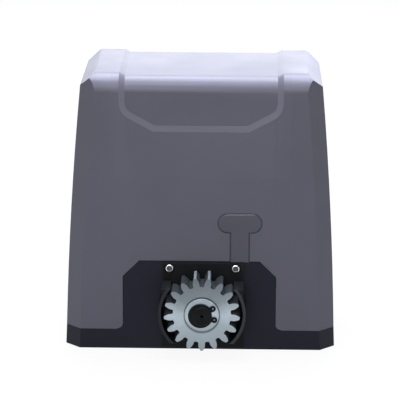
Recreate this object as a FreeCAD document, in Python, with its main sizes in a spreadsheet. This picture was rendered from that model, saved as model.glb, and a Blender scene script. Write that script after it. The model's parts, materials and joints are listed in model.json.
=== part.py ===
import FreeCAD, Part
import math
import os
import re

import Sketcher

# Sliding gate motor: a vertical motor drives a worm, the worm wheel drives a pinion at the front.
# Frame: millimetres, origin under the middle of the base, +Z up, +Y from the pinion side to the rear.

# Driving dimensions: name, value in millimetres (or a count), meaning.
SIZES = (
    ("base_width", 275, "outside width of the base at the floor"),
    ("base_depth", 150, "front plane to rear plane of base and cover"),
    ("band_height", 20.5, "visible height of the base all round"),
    ("band_draft", 0.9, "draft of the base's sides over that height"),
    ("corner_cut", 15, "vertical 45 degree facets of base and cover"),
    ("base_wall", 4, "wall of the base tray"),
    ("floor_thickness", 6, "floor of the base tray"),
    ("lip_height", 8, "upstand of the tray inside the cover"),
    ("lip_thickness", 2.5, "wall of that upstand"),
    ("lip_gap", 0.6, "space between the upstand and the cover"),
    ("arch_left", 78, "raised front wall, from the middle to its left end"),
    ("arch_right", 76.5, "raised front wall, from the middle to its right end"),
    ("arch_top", 93, "height of the raised wall and of the gearbox"),
    ("arch_chamfer", 16.5, "45 degree corners of the raised wall"),
    ("arch_flare", 6, "radius where the raised wall meets the band"),
    ("arch_wall", 6, "thickness of the raised wall"),
    ("arch_gap", 0.4, "joint between the raised wall and the cover"),
    ("cover_top", 284, "height over the cover's shoulders"),
    ("cover_top_half", 120.8, "half width where the top chamfer starts"),
    ("side_bow", 2.1, "outward bow of the cover's sides"),
    ("top_chamfer_width", 15, "45 degree edge along the top, seen from the front"),
    ("top_chamfer_drop", 13, "height of that edge"),
    ("top_round", 18, "rounding between the front and the top"),
    ("cover_wall", 3, "wall of the moulded cover"),
    ("recess_depth", 2.8, "depth of the panel sunk into the cover"),
    ("recess_half", 76, "half width of the sunk panel"),
    ("recess_low", 232.9, "lower edge of the sunk panel"),
    ("recess_low_half", 46, "half length of that edge"),
    ("recess_rise", 16.1, "height of the panel's slanted edges"),
    ("recess_slope", 5.8, "width of the slope around the panel"),
    ("recess_corner", 12, "radius between slanted and upright edges"),
    ("recess_split", 261, "height where the front's slope passes to the top's"),
    ("tee_x", 39.8, "middle of the limit switch slot"),
    ("tee_width", 44.2, "width of the slot's rounded head"),
    ("tee_height", 19.8, "height of the slot's rounded head"),
    ("tee_low", 123.3, "lower edge of the slot's head"),
    ("stem_width", 19.1, "width of the slot below its head"),
    ("cover_screw_radius", 1.9, "shank of the cover's side screws"),
    ("blank_gap", 0.4, "joint around the slot's blank"),
    ("blank_proud", 1.6, "blank stands this far out of the cover"),
    ("blank_edge", 1.2, "bevelled front edge of the blank"),
    ("blank_flange", 1.6, "thickness of the blank's flange inside the cover"),
    ("gear_x", 2.5, "output axis, to the right of the middle"),
    ("gear_z", 47.3, "output axis above the floor"),
    ("gear_module", 4, "module of the pinion"),
    ("gear_teeth", 17, "teeth of the pinion"),
    ("gear_width", 28, "width of the pinion"),
    ("gear_reach", 33, "pinion's front face before the front plane"),
    ("gear_bore_radius", 10, "bore of the pinion"),
    ("washer_radius", 17.5, "thrust washer, outside"),
    ("washer_width", 3, "thrust washer, thickness"),
    ("ring_width", 1.5, "retaining ring, thickness"),
    ("shaft_end", 2.2, "shaft beyond the retaining ring"),
    ("key_size", 6, "square key of the pinion"),
    ("shaft_radius", 12.5, "shaft in seal, front bearing and clutch"),
    ("wheel_seat_radius", 11, "shaft in the worm wheel"),
    ("rear_seat_radius", 10, "shaft in the rear bearing"),
    ("running_gap", 0.05, "radial running clearance"),
    ("end_gap", 0.3, "axial clearance between turning and fixed faces"),
    ("seal_radius", 20, "oil seal, outside"),
    ("seal_width", 7, "oil seal, width"),
    ("front_bearing_radius", 26, "front bearing, outside"),
    ("front_bearing_width", 15, "front bearing, width"),
    ("rear_bearing_radius", 23.5, "rear bearing, outside"),
    ("rear_bearing_width", 14, "rear bearing, width"),
    ("seal_step", 2, "step between the oil seal and the front bearing"),
    ("key_inset", 2, "key's ends inside the pinion's faces"),
    ("centre_radius", 1.7, "centre drilled into the shaft's end"),
    ("ring_groove", 0.6, "depth of the retaining ring's groove"),
    ("ring_height", 3.2, "radial height of the retaining ring"),
    ("ring_ear", 2.5, "radius of the retaining ring's ears"),
    ("ring_ear_offset", 4.6, "those ears above and below the ring's middle"),
    ("ring_hole", 0.9, "radius of the holes in those ears"),
    ("worm_module", 2, "module of worm and worm wheel"),
    ("wheel_teeth", 30, "teeth of the worm wheel"),
    ("wheel_width", 18, "face width of the worm wheel"),
    ("wheel_inset", 62, "front plane to the worm wheel's middle plane and the motor's axis"),
    ("worm_pitch_radius", 10, "pitch radius of the worm"),
    ("worm_turns", 6, "turns of the worm's thread"),
    ("tooth_play", 0.25, "thinning of each worm and wheel tooth"),
    ("chamber_gap", 2, "space around the worm wheel"),
    ("spigot_length", 12, "gearbox cover's spigot, up to the gearbox joint"),
    ("guide_boss", 10, "boss of the release rod behind that joint"),
    ("guide_wall", 5, "wall of that boss"),
    ("worm_bore_radius", 14, "bore for worm and lower bearing"),
    ("worm_bore_floor", 9, "floor of that bore above the ground"),
    ("worm_bore_relief", 4, "relief under the lower worm bearing"),
    ("lower_bearing_width", 8, "lower worm bearing, width"),
    ("lower_seat_radius", 6, "worm shaft in its lower bearing"),
    ("upper_bearing_radius", 20, "upper worm bearing, outside"),
    ("upper_bearing_width", 12, "upper worm bearing, width"),
    ("upper_bearing_sink", 3, "upper worm bearing below the motor seat"),
    ("upper_seat_radius", 8.5, "worm shaft in its upper bearing and in the rotor"),
    ("joint_screw_x", 36, "gearbox cover's screws beside the output axis"),
    ("joint_screw_z", 26, "gearbox cover's screws above and below that axis"),
    ("joint_screw_radius", 2.5, "shank of the gearbox cover's screws"),
    ("joint_screw_grip", 8, "their length in the gearbox"),
    ("flange_width", 6, "flange of the gearbox cover"),
    ("flange_half", 42, "half width of that flange"),
    ("seat_thickness", 9, "motor seat on top of the gearbox"),
    ("gearbox_left", 62, "gearbox wall beside the worm"),
    ("gearbox_right", 45, "gearbox wall beside the wheel"),
    ("dog_radius", 22, "clutch dog, outside"),
    ("dog_stroke", 5, "travel of the clutch when released"),
    ("dog_tooth", 4, "height of the clutch teeth"),
    ("dog_before", 5, "clutch dog before its cross pin's axis"),
    ("dog_behind", 6.7, "clutch dog behind that axis"),
    ("clutch_pin_radius", 3, "cross pin of the clutch"),
    ("collar_width", 3, "shaft collar behind the front bearing"),
    ("spring_wire", 1.2, "square wire of the clutch spring"),
    ("spring_turns", 3, "turns of the clutch spring"),
    ("rod_radius", 4, "release rod"),
    ("motor_radius", 50, "motor's bells and stator"),
    ("stack_height", 60, "stator stack"),
    ("bell_low", 19, "height of the lower motor bell"),
    ("bell_high", 20, "height of the upper motor bell"),
    ("bell_wall", 5, "walls of the motor's bells"),
    ("bell_floor", 6, "their floors"),
    ("tail_radius", 7.5, "worm shaft in the upper motor bearing"),
    ("tail_bearing_radius", 17.5, "upper motor bearing, outside"),
    ("tail_bearing_width", 11, "upper motor bearing, width"),
    ("tail_bearing_rise", 8, "upper motor bearing above the stack"),
    ("bolt_circle_radius", 55, "motor bolts"),
    ("bolt_radius", 2.5, "shank of the motor bolts"),
    ("bolt_grip", 9, "their length in the motor seat"),
    ("ear_radius", 7, "ears of the bells around the bolts"),
    ("ear_height", 8, "height of those ears"),
    ("ear_rise", 4, "upper bell's ears above the stack"),
    ("winding_reach", 10, "end windings beyond the stack"),
    ("winding_gap", 1, "windings' distance from the bore"),
    ("rotor_radius", 26.7, "rotor core"),
    ("air_gap", 0.3, "between rotor and stator"),
    ("fan_radius", 42, "cooling fan"),
    ("fan_gap", 4, "fan above the upper bell"),
    ("fan_disc", 2, "thickness of the fan's disc"),
    ("fan_height", 11, "height of the fan's hub and blades"),
    ("fan_hub_radius", 12, "fan's hub"),
    ("fan_seat_radius", 5, "worm shaft in the fan's hub"),
    ("fan_blade", 2, "thickness of a fan blade"),
    ("fan_blades", 9, "blades of the fan"),
    ("lever_z", 47.3, "middle height of the release lever"),
    ("lever_height", 44, "height of the release lever"),
    ("lever_length", 62, "release lever, from its pin to its end"),
    ("lever_pin_inset", 15, "rear plane to the release lever's pin"),
    ("lever_pin_radius", 4, "release lever's pin"),
    ("lever_plate", 10, "thickness of the lever's plate"),
    ("cam_radius", 8, "cam of the lever at rest"),
    ("lever_gap", 1.2, "gap around the release lever"),
    ("block_wall", 9, "walls of the release block beside the lever"),
    ("block_roof", 6, "its walls above and below the lever"),
    ("cam_space", 6, "free space beside the lever's cam"),
    ("rod_guide", 6, "length of the release rod's guide in the block"),
    ("lock_x", 50, "lock cylinder"),
    ("lock_radius", 8, "lock cylinder"),
    ("lock_neck", 4, "neck of the lock cylinder in its tongue"),
    ("key_slot_width", 2.2, "slot for the key"),
    ("key_slot_height", 9, "slot for the key"),
    ("key_slot_depth", 6, "slot for the key"),
    ("tongue_reach", 18, "lock tongue, from the cylinder's axis to its tip"),
    ("tongue_half", 4.8, "half width of the lock tongue"),
    ("tongue_thickness", 3, "lock tongue, with its running gap"),
    ("slot_inset_x", 32.5, "foundation slots from the base's sides"),
    ("slot_inset_y", 25, "foundation slots from the front and rear planes"),
    ("slot_radius", 5.5, "half width of a foundation slot"),
    ("slot_length", 22, "length of a foundation slot"),
    ("level_outwards", 17, "levelling screws, from the slots towards the sides"),
    ("level_inwards", 16, "levelling screws, from the slots towards the middle"),
    ("level_radius", 4, "levelling screws"),
    ("level_length", 20, "levelling screws"),
    ("cable_x", 64, "cable entry"),
    ("cable_inset", 29, "front plane to the middle of the cable entry"),
    ("cable_radius", 12.5, "cable entry's hole in the floor"),
    ("grommet_bore", 8, "cable grommet's bore radius"),
    ("grommet_lip", 2.5, "rim of the grommet on the floor"),
    ("guard_left", 40.5, "guard plate, from the output axis to its left edge"),
    ("guard_right", 41.5, "guard plate, from the output axis to its right edge"),
    ("guard_top", 92, "guard plate's upper edge"),
    ("guard_low", 3, "guard plate's lower edge"),
    ("guard_plate", 3.5, "guard plate, thickness"),
    ("guard_inner", 41, "inner radius of the guard's cheeks"),
    ("guard_outer", 44, "outer radius of the guard's cheeks"),
    ("cheek_top", 73.5, "upper end of the cheeks"),
    ("cheek_low", 16.8, "lower end of the cheeks"),
    ("guard_screw_x", 33.35, "guard screws beside the output axis"),
    ("guard_screw_z", 86.7, "guard screws above the floor"),
    ("screw_head", 4.35, "guard screw's head, radius"),
    ("guard_screw_radius", 2.5, "shank of the guard screws"),
    ("guard_screw_length", 14, "length of the guard screws"),
    ("guard_screw_sink", 1.5, "guard screws' seats below the plate's face"),
    ("cover_screw_length", 8, "length of the cover's side screws"),
    ("cover_screw_sink", 1, "their seats below the cover's side"),
    ("cover_screw_face", 4.6, "radius of those seats"),
    ("board_gap", 1, "board bracket before the release block"),
    ("board_left", 28, "control board, left edge"),
    ("board_width", 82, "control board"),
    ("board_low", 108, "control board, lower edge"),
    ("board_height", 112, "control board"),
    ("board_thickness", 1.6, "control board"),
    ("bracket_wall", 3, "sheet of the board bracket"),
    ("bracket_foot", 10, "foot of the board bracket"),
    ("bracket_rim", 4, "board bracket beyond the board's edges"),
    ("bracket_stem", 50, "width of the bracket below the board"),
    ("stem_inset", 10, "board's right edge to that stem"),
    ("post_radius", 3.5, "posts that carry the board"),
    ("post_length", 5, "length of those posts, and their distance from the board's edges"),
    ("relay_pitch", 24, "relays, side by side"),
    ("relay_size", 16, "height and depth of a relay"),
    ("relay_drop", 14, "relays below the board's upper edge"),
    ("part_inset", 8, "relays and fuse from the board's left edge"),
    ("terminal_size", 11, "height and depth of the terminal strip"),
    ("terminal_inset", 6, "terminal strip's ends inside the board's"),
    ("fuse_rise", 34, "fuse above the board's lower edge"),
    ("fuse_length", 24, "fuse holder"),
    ("fuse_size", 9, "height and depth of the fuse holder"),
    ("smoothing_radius", 8, "smoothing capacitor"),
    ("smoothing_length", 20, "smoothing capacitor"),
    ("smoothing_inset", 18, "smoothing capacitor's axis from the board's right edge"),
    ("core_x", 71, "middle of the transformer"),
    ("core_depth", 30, "depth of the transformer's core"),
    ("core_height", 50, "height of the transformer's core"),
    ("core_limb", 10, "middle limb of the core"),
    ("core_side", 7, "outer limbs of the core"),
    ("core_yoke", 10, "yokes of the core"),
    ("core_window", 9, "windows of the core"),
    ("coil_wall", 7, "transformer's coil before and behind the core"),
    ("coil_gap", 0.5, "coil between the yokes"),
    ("core_gap", 6, "coil to the bracket's foot"),
    ("capacitor_x", -66, "run capacitor"),
    ("capacitor_inset", 28, "rear plane to the run capacitor's axis"),
    ("capacitor_radius", 18, "run capacitor"),
    ("capacitor_height", 70, "run capacitor"),
    ("sensor_half", 18, "half width of the limit sensor"),
    ("sensor_depth", 16, "limit sensor"),
    ("sensor_inset", 8, "front plane to the limit sensor"),
)

doc = FreeCAD.newDocument("SlidingGateMotor")
sheet = doc.addObject("Spreadsheet::Sheet", "Sizes")
for row, (alias, value, meaning) in enumerate(SIZES, start=1):
    sheet.set(f"A{row}", meaning)
    sheet.set(f"B{row}", str(value))
    sheet.setAlias(f"B{row}", alias)
doc.recompute()
ALIASES = {alias for alias, _, _ in SIZES}

# Planes and stations that several pieces share, as expressions of the sheet's sizes.
FRONT = "(-base_depth/2)"
REAR = "(base_depth/2)"
BAND_HALF = "(base_width/2 - band_draft)"
PINION_FRONT = f"({FRONT} - gear_reach)"
PINION_REAR = f"({PINION_FRONT} + gear_width)"
WASHER_FRONT = f"({PINION_FRONT} - washer_width)"
RING_FRONT = f"({WASHER_FRONT} - ring_width)"
SHAFT_FRONT = f"({RING_FRONT} - shaft_end)"
SEAL_REAR = f"({FRONT} + seal_width)"
BEARING_FRONT = f"({SEAL_REAR} + seal_step)"
BEARING_REAR = f"({BEARING_FRONT} + front_bearing_width)"
WHEEL_Y = f"({FRONT} + wheel_inset)"
WHEEL_FRONT = f"({WHEEL_Y} - wheel_width/2)"
WHEEL_REAR = f"({WHEEL_Y} + wheel_width/2)"
HUB_FRONT = f"({WHEEL_FRONT} - dog_tooth)"
DOG_FACE = f"({HUB_FRONT} - end_gap)"
CLUTCH_PIN_Y = f"({DOG_FACE} - dog_behind)"
DOG_FRONT = f"({CLUTCH_PIN_Y} - dog_before)"
REAR_BEARING_FRONT = f"({WHEEL_REAR} + dog_tooth)"
REAR_BEARING_REAR = f"({REAR_BEARING_FRONT} + rear_bearing_width)"
GEARBOX_REAR = f"({REAR_BEARING_FRONT} + spigot_length)"
WHEEL_PITCH = "(worm_module*wheel_teeth/2)"
WORM_X = f"(gear_x - {WHEEL_PITCH} - worm_pitch_radius)"
CHAMBER_RADIUS = f"({WHEEL_PITCH} + worm_module + chamber_gap)"
STACK_LOW = "(arch_top + bell_low)"
STACK_HIGH = f"({STACK_LOW} + stack_height)"
BELL_TOP = f"({STACK_HIGH} + bell_high)"
WORM_SEAT_LOW = "(worm_bore_floor + worm_bore_relief)"
WORM_SEAT_HIGH = f"({WORM_SEAT_LOW} + lower_bearing_width)"
UPPER_SEAT_HIGH = "(arch_top - upper_bearing_sink)"
UPPER_SEAT_LOW = f"({UPPER_SEAT_HIGH} - upper_bearing_width)"
TAIL_SEAT_LOW = f"({STACK_HIGH} + tail_bearing_rise)"
TAIL_SEAT_HIGH = f"({TAIL_SEAT_LOW} + tail_bearing_width)"
EAR_LOW = f"({STACK_HIGH} + ear_rise)"
EAR_HIGH = f"({EAR_LOW} + ear_height)"
FAN_LOW = f"({BELL_TOP} + fan_gap)"
FAN_HIGH = f"({FAN_LOW} + fan_height)"
LEVER_PIN_Y = f"({REAR} - lever_pin_inset)"
LEVER_FRONT = f"({REAR} - lever_plate)"
ROD_FRONT = f"({CLUTCH_PIN_Y} + clutch_pin_radius + end_gap)"
ROD_REAR = f"({LEVER_PIN_Y} - cam_radius - end_gap)"
RECESS_LEFT = "(gear_x - cam_radius - dog_stroke - cam_space)"
RECESS_RIGHT = "(gear_x + lever_length + lever_gap)"
RECESS_FLOOR = f"({LEVER_PIN_Y} - cam_radius - dog_stroke - 1)"
RECESS_LOW = "(lever_z - lever_height/2 - lever_gap)"
RECESS_HIGH = "(lever_z + lever_height/2 + lever_gap)"
BLOCK_FRONT = f"({RECESS_FLOOR} - rod_guide)"
BLOCK_HIGH = f"({RECESS_HIGH} + block_roof)"
BOARD_Y = f"({BLOCK_FRONT} - board_gap)"
CABLE_Y = f"({FRONT} + cable_inset)"
SLOT_X = "(base_width/2 - slot_inset_x)"
SLOT_Y = "(base_depth/2 - slot_inset_y)"
LEVEL_X = f"({SLOT_X} + level_outwards)"
LEVEL_Y = f"({SLOT_Y} - level_inwards)"
COVER_SCREW_Z = "(band_height + lip_height/2)"
COVER_SCREW_SEAT = f"({BAND_HALF} - cover_screw_sink)"


def bound(expression):
    """Write an expression of the sheet's names as other objects refer to it."""
    return re.sub(r"[A-Za-z_]\w*", lambda m: "Sizes." + m[0] if m[0] in ALIASES else m[0], expression)


def size(expression):
    """The present value of an expression of the sheet's names."""
    return float(sheet.evalExpression(str(expression)))


def spot(x, y):
    return FreeCAD.Vector(size(x), size(y), 0)


# ---------------------------------------------------------------- sketches and features
def plane(body, role):
    return next(item for item in body.Origin.OriginFeatures if item.Role == role)


def new_sketch(body, role, lift="0", shift="0"):
    """Sketch on one of the body's planes, moved along its normal and along its first axis."""
    sketch = body.newObject("Sketcher::SketchObject", "Sketch")
    sketch.AttachmentSupport = [(plane(body, role), "")]
    sketch.MapMode = "FlatFace"
    sketch.setExpression("AttachmentOffset.Base.z", bound(lift))
    sketch.setExpression("AttachmentOffset.Base.x", bound(shift))
    return sketch


def pin_point(sketch, edge, point, x, y):
    """Hold a point of an edge at two dimensions from the sketch's origin."""
    for kind, expression in (("DistanceX", x), ("DistanceY", y)):
        index = sketch.addConstraint(Sketcher.Constraint(kind, -1, 1, edge, point, size(expression)))
        sketch.setExpression(f"Constraints[{index}]", bound(str(expression)))


def draw_loop(sketch, corners):
    """Closed outline. A corner is (x, y), or (x, y, via_x, via_y) where an arc leaves it."""
    edges = []
    for index, corner in enumerate(corners):
        start = spot(*corner[:2])
        end = spot(*corners[(index + 1) % len(corners)][:2])
        flipped = False
        if len(corner) == 4:
            via = spot(*corner[2:])
            edge = sketch.addGeometry(Part.ArcOfCircle(start, via, end))
            middle = sketch.addGeometry(Part.Point(via), True)
            pin_point(sketch, middle, 1, *corner[2:])
            sketch.addConstraint(Sketcher.Constraint("PointOnObject", middle, 1, edge))
            first = sketch.getPoint(edge, 1)
            flipped = first.distanceToPoint(start) > first.distanceToPoint(end)
        else:
            edge = sketch.addGeometry(Part.LineSegment(start, end))
        edges.append((edge, 2, 1) if flipped else (edge, 1, 2))
    for index, (edge, first, last) in enumerate(edges):
        after, after_first, _ = edges[(index + 1) % len(edges)]
        pin_point(sketch, edge, first, *corners[index][:2])
        sketch.addConstraint(Sketcher.Constraint("Coincident", edge, last, after, after_first))


def draw_circle(sketch, x, y, radius):
    circle = sketch.addGeometry(Part.Circle(spot(x, y), FreeCAD.Vector(0, 0, 1), size(radius)))
    pin_point(sketch, circle, 3, x, y)
    index = sketch.addConstraint(Sketcher.Constraint("Radius", circle, size(radius)))
    sketch.setExpression(f"Constraints[{index}]", bound(str(radius)))


def draw(sketch, shapes):
    """Each shape is a list of corners, or a (x, y, radius) circle."""
    for shape in shapes:
        if isinstance(shape, tuple):
            draw_circle(sketch, *shape)
        else:
            draw_loop(sketch, shape)
    return sketch


def extrude(body, role, shapes, low, high, cut=False):
    """Pad or pocket between two stations along the plane's world axis."""
    flips = role == "XZ_Plane"
    near, far = (high, low) if flips else (low, high)
    start = far if cut else near
    lift = f"-({start})" if flips else start
    sketch = draw(new_sketch(body, role, lift), shapes)
    feature = body.newObject("PartDesign::Pocket" if cut else "PartDesign::Pad", "Extrusion")
    feature.Profile = sketch
    feature.setExpression("Length", bound(f"({high}) - ({low})"))
    return feature


def revolve(body, axis, corners, cut=False, lift="0", shift="0"):
    """Turn a (radius, station) outline about a line parallel to Y or Z."""
    role = "XY_Plane" if axis == "Y" else "XZ_Plane"
    sketch = draw(new_sketch(body, role, lift, shift), [corners])
    feature = body.newObject("PartDesign::Groove" if cut else "PartDesign::Revolution", "Turning")
    feature.Profile = sketch
    feature.ReferenceAxis = (sketch, ["V_Axis"])
    feature.Angle = 360
    return feature


def loft(body, role, sections, cut=False):
    """Ruled loft through (station, corners) sections."""
    sketches = []
    for station, corners in sections:
        lift = f"-({station})" if role == "XZ_Plane" else station
        sketches.append(draw(new_sketch(body, role, lift), [corners]))
    feature = body.newObject("PartDesign::SubtractiveLoft" if cut else "PartDesign::AdditiveLoft", "Loft")
    feature.Profile = sketches[0]
    feature.Sections = sketches[1:]
    feature.Ruled = True
    return feature


def around(body, feature, axis_role, count):
    """Repeat a feature evenly about one of the body's axes."""
    pattern = body.newObject("PartDesign::PolarPattern", "Pattern")
    pattern.Originals = [feature]
    pattern.Axis = (plane(body, axis_role), [""])
    pattern.Angle = 360
    pattern.setExpression("Occurrences", bound(str(count)))
    body.Tip = pattern
    return pattern


def dress(body, kind, test, amount):
    """Fillet or chamfer the edges of the body's last feature that pass the test."""
    doc.recompute()
    base = body.Tip
    names = [f"Edge{n}" for n, edge in enumerate(base.Shape.Edges, start=1) if test(edge)]
    feature = body.newObject(f"PartDesign::{kind}", kind)
    feature.Base = (base, names)
    feature.setExpression("Radius" if kind == "Fillet" else "Size", bound(amount))
    return feature


# ---------------------------------------------------------------- bodies, primitives and nodes
nodes = []


def node(item, label):
    """Register a finished sub-part under the name of its file."""
    item.Label = label
    nodes.append(item)
    return item


def new_body(name, x="0", y="0", z="0"):
    body = doc.addObject("PartDesign::Body", name)
    for axis, expression in zip("xyz", (x, y, z)):
        body.setExpression(f"Placement.Base.{axis}", bound(expression))
    return body


def turned(label, axis, outlines, x="0", y="0", z="0"):
    """Sub-part turned about Y or Z from one or more (radius, station) outlines."""
    body = new_body(label + "_body", x, y, z)
    for corners in outlines:
        revolve(body, axis, corners)
    return node(body, label)


def ring(inner, outer, low, high):
    """Outline of a plain ring for turning."""
    return [(inner, low), (outer, low), (outer, high), (inner, high)]


def box(name, x_range, y_range, z_range):
    item = doc.addObject("Part::Box", name)
    spans = (x_range, y_range, z_range)
    for side, axis, (low, high) in zip(("Length", "Width", "Height"), "xyz", spans):
        item.setExpression(side, bound(f"({high}) - ({low})"))
        item.setExpression(f"Placement.Base.{axis}", bound(low))
    return item


def cylinder(name, axis, radius, low, high, x="0", y="0", z="0"):
    """Cylinder along Y or Z between two stations; the other two values place its axis."""
    item = doc.addObject("Part::Cylinder", name)
    item.setExpression("Radius", bound(radius))
    item.setExpression("Height", bound(f"({high}) - ({low})"))
    if axis == "Y":
        item.Placement.Rotation = FreeCAD.Rotation(FreeCAD.Vector(1, 0, 0), -90)
        y = low
    else:
        z = low
    for letter, expression in zip("xyz", (x, y, z)):
        item.setExpression(f"Placement.Base.{letter}", bound(expression))
    return item


def fuse(name, items):
    item = doc.addObject("Part::MultiFuse", name)
    item.Shapes = items
    return item


def cut(name, base, tool):
    item = doc.addObject("Part::Cut", name)
    item.Base = base
    item.Tool = tool
    return item


def group(label, source, places):
    """Sub-part of separate equal solids: the source's shape repeated at each placement."""
    doc.recompute()
    item = doc.addObject("Part::Feature", label)
    item.Shape = Part.Compound([source.Shape.transformed(place.toMatrix()) for place in places])
    return node(item, label)


def at(x, y, z, turn=0, about=(1, 0, 0)):
    """Placement at three expressions, turned by some degrees about an axis."""
    rotation = FreeCAD.Rotation(FreeCAD.Vector(*about), turn)
    return FreeCAD.Placement(FreeCAD.Vector(size(x), size(y), size(z)), rotation)


def mirrored(right):
    """Follow the right half of an outline with its mirror image, arcs included."""
    left = []
    for index in reversed(range(len(right))):
        x, y = right[index][:2]
        before = right[index - 1] if index else ()
        via = (f"-({before[2]})", before[3]) if len(before) == 4 else ()
        left.append((f"-({x})", y) + via)
    return right + left


def screw(name, axis, shank, length, head, head_height, socket):
    """Cap screw with its head's underside at the origin and its socket on the negative side."""
    body = new_body(name)
    profile = [("0", f"-({head_height})"), (head, f"-({head_height})"), (head, "0"),
               (shank, "0"), (shank, length), ("0", length)]
    revolve(body, axis, profile)
    role = "XZ_Plane" if axis == "Y" else "XY_Plane"
    extrude(body, role, [hexagon(socket)], f"-({head_height}) - 1", f"-({head_height})*0.4", cut=True)
    return body


# ---------------------------------------------------------------- outlines that pieces share
def arch_outline(gap, low):
    """Raised wall around the output: flared feet on the band, 45 degree upper corners."""
    lean = f"{math.tan(math.radians(22.5)):.4f}*({gap})"
    foot = "(band_height + arch_flare)"

    def side(reach):
        radius = f"(arch_flare - {gap})"
        middle = f"({reach} + arch_flare - {math.sqrt(0.5):.4f}*{radius})"
        middle_z = f"({foot} - {math.sqrt(0.5):.4f}*{radius})"
        return [(f"{reach} + arch_flare", low),
                (f"{reach} + arch_flare", f"band_height + {gap}", middle, middle_z),
                (f"{reach} + {gap}", foot),
                (f"{reach} + {gap}", f"arch_top - arch_chamfer + {lean}"),
                (f"{reach} - arch_chamfer + {lean}", f"arch_top + {gap}")]

    right = side("arch_right")
    left = mirrored(side("arch_left"))[5:]
    return right + left


def tee_outline(gap, foot):
    """Limit switch slot: a rounded head on a straight stem."""
    middle = "(tee_low + tee_height/2)"
    radius = f"(tee_height/2 + {gap})"
    reach = f"(tee_width/2 + {gap})"
    stem = f"(stem_width/2 + {gap})"
    return [(f"tee_x + {stem}", foot),
            (f"tee_x + {stem}", f"{middle} - {radius}"),
            (f"tee_x + {reach} - {radius}", f"{middle} - {radius}", f"tee_x + {reach}", middle),
            (f"tee_x + {reach} - {radius}", f"{middle} + {radius}"),
            (f"tee_x - {reach} + {radius}", f"{middle} + {radius}", f"tee_x - {reach}", middle),
            (f"tee_x - {reach} + {radius}", f"{middle} - {radius}"),
            (f"tee_x - {stem}", f"{middle} - {radius}"),
            (f"tee_x - {stem}", foot)]


def hexagon(reach):
    """Hexagon about the origin, by the distance to its corners."""
    bearings = [math.radians(60 * n) for n in range(6)]
    return [(f"({reach})*{math.cos(turn):.4f}", f"({reach})*{math.sin(turn):.4f}") for turn in bearings]


def rectangle(x_low, y_low, x_high, y_high):
    return [(x_low, y_low), (x_high, y_low), (x_high, y_high), (x_low, y_high)]


def octagon(inset):
    """Plan of the base, set inwards by inset: a rectangle with its corners cut."""
    x, y = f"({BAND_HALF} - {inset})", f"(base_depth/2 - {inset})"
    bevel = f"(corner_cut - {2 - math.sqrt(2):.4f}*({inset}))"
    right = [(x, f"{bevel} - {y}"), (x, f"{y} - {bevel}"), (f"{x} - {bevel}", y)]
    upper = mirrored(right)
    return upper[:-1] + [(f"-({x})", f"{bevel} - {y}"), (f"{bevel} - {x}", f"-({y})"),
                         (f"{x} - {bevel}", f"-({y})")]


def slot_outline(x, y):
    """Foundation slot along X."""
    reach = "(slot_length/2 - slot_radius)"
    return [(f"{x} + {reach}", f"{y} - slot_radius", f"{x} + slot_length/2", y),
            (f"{x} + {reach}", f"{y} + slot_radius"),
            (f"{x} - {reach}", f"{y} + slot_radius", f"{x} - slot_length/2", y),
            (f"{x} - {reach}", f"{y} - slot_radius")]


# A tooth's fillet starts this far inside its blank, as a share of the module.
ROOT_OVERLAP = 0.05


def tooth(count, module, play, depth, fillet, turn):
    """Involute tooth about the +Z direction, turned by some degrees, as corners with arcs.

    The flanks leave the blank in a fillet and follow the 20 degree involute in one arc each.
    """
    pitch = count / 2
    base = pitch * math.cos(math.radians(20))
    root, tip = pitch - depth, pitch + 1

    def involute(radius):
        pressure = math.acos(min(1, base / radius))
        return math.tan(pressure) - pressure

    def half_angle(radius):
        half_tooth = math.pi / 4 - play / size(module) / 2
        return half_tooth / pitch + involute(pitch) - involute(radius)

    def polar(radius, angle):
        bearing = angle + math.radians(turn)
        return (f"{radius * math.sin(bearing):.6f}*{module}", f"{radius * math.cos(bearing):.6f}*{module}")

    start = root + fillet
    middle = (start + tip) / 2
    spread = half_angle(start)
    bend = fillet * (1 - math.sqrt(0.5))

    def point(side, radius, along=0.0):
        return polar(radius, side * (half_angle(max(radius, start)) + along / radius))

    def foot(side, radius, across):
        return polar(radius, side * (spread + across / radius))

    inner = root - 0.3
    return [foot(1, inner, fillet),
            foot(1, root, fillet) + foot(1, root + bend, bend),
            point(1, start) + point(1, middle),
            point(1, tip),
            point(-1, tip) + point(-1, middle),
            point(-1, start) + foot(-1, root + bend, bend),
            foot(-1, root, fillet),
            foot(-1, inner, fillet)]


# ---------------------------------------------------------------- the cover
def panel_outline(offset):
    """Lower end of the sunk panel, grown outwards by an offset and open to the top."""
    run = "(recess_half - recess_low_half)"
    slant = f"sqrt({run}^2 + recess_rise^2)"
    low_turn = f"(({slant} - {run})/recess_rise)"
    high_turn = f"(({slant} - recess_rise)/{run})"
    radius = f"(recess_corner + {offset})"
    tangent = f"({radius}*{high_turn})"
    x, z = f"(recess_half + {offset})", f"(recess_low + recess_rise - {offset}*{high_turn})"
    reach = f"sqrt({radius}^2 + {tangent}^2)"
    right = [(f"recess_low_half + {offset}*{low_turn}", f"recess_low - {offset}"),
             (f"{x} - {tangent}*{run}/{slant}", f"{z} - {tangent}*recess_rise/{slant}",
              f"{x} - {radius} + {radius}^2/{reach}", f"{z} + {tangent} - {radius}*{tangent}/{reach}"),
             (x, f"{z} + {tangent}"),
             (x, "recess_split")]
    return mirrored(right)


# The cutter of the sunk panel reaches this far beyond the cover.
OUTSIDE = 9


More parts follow.
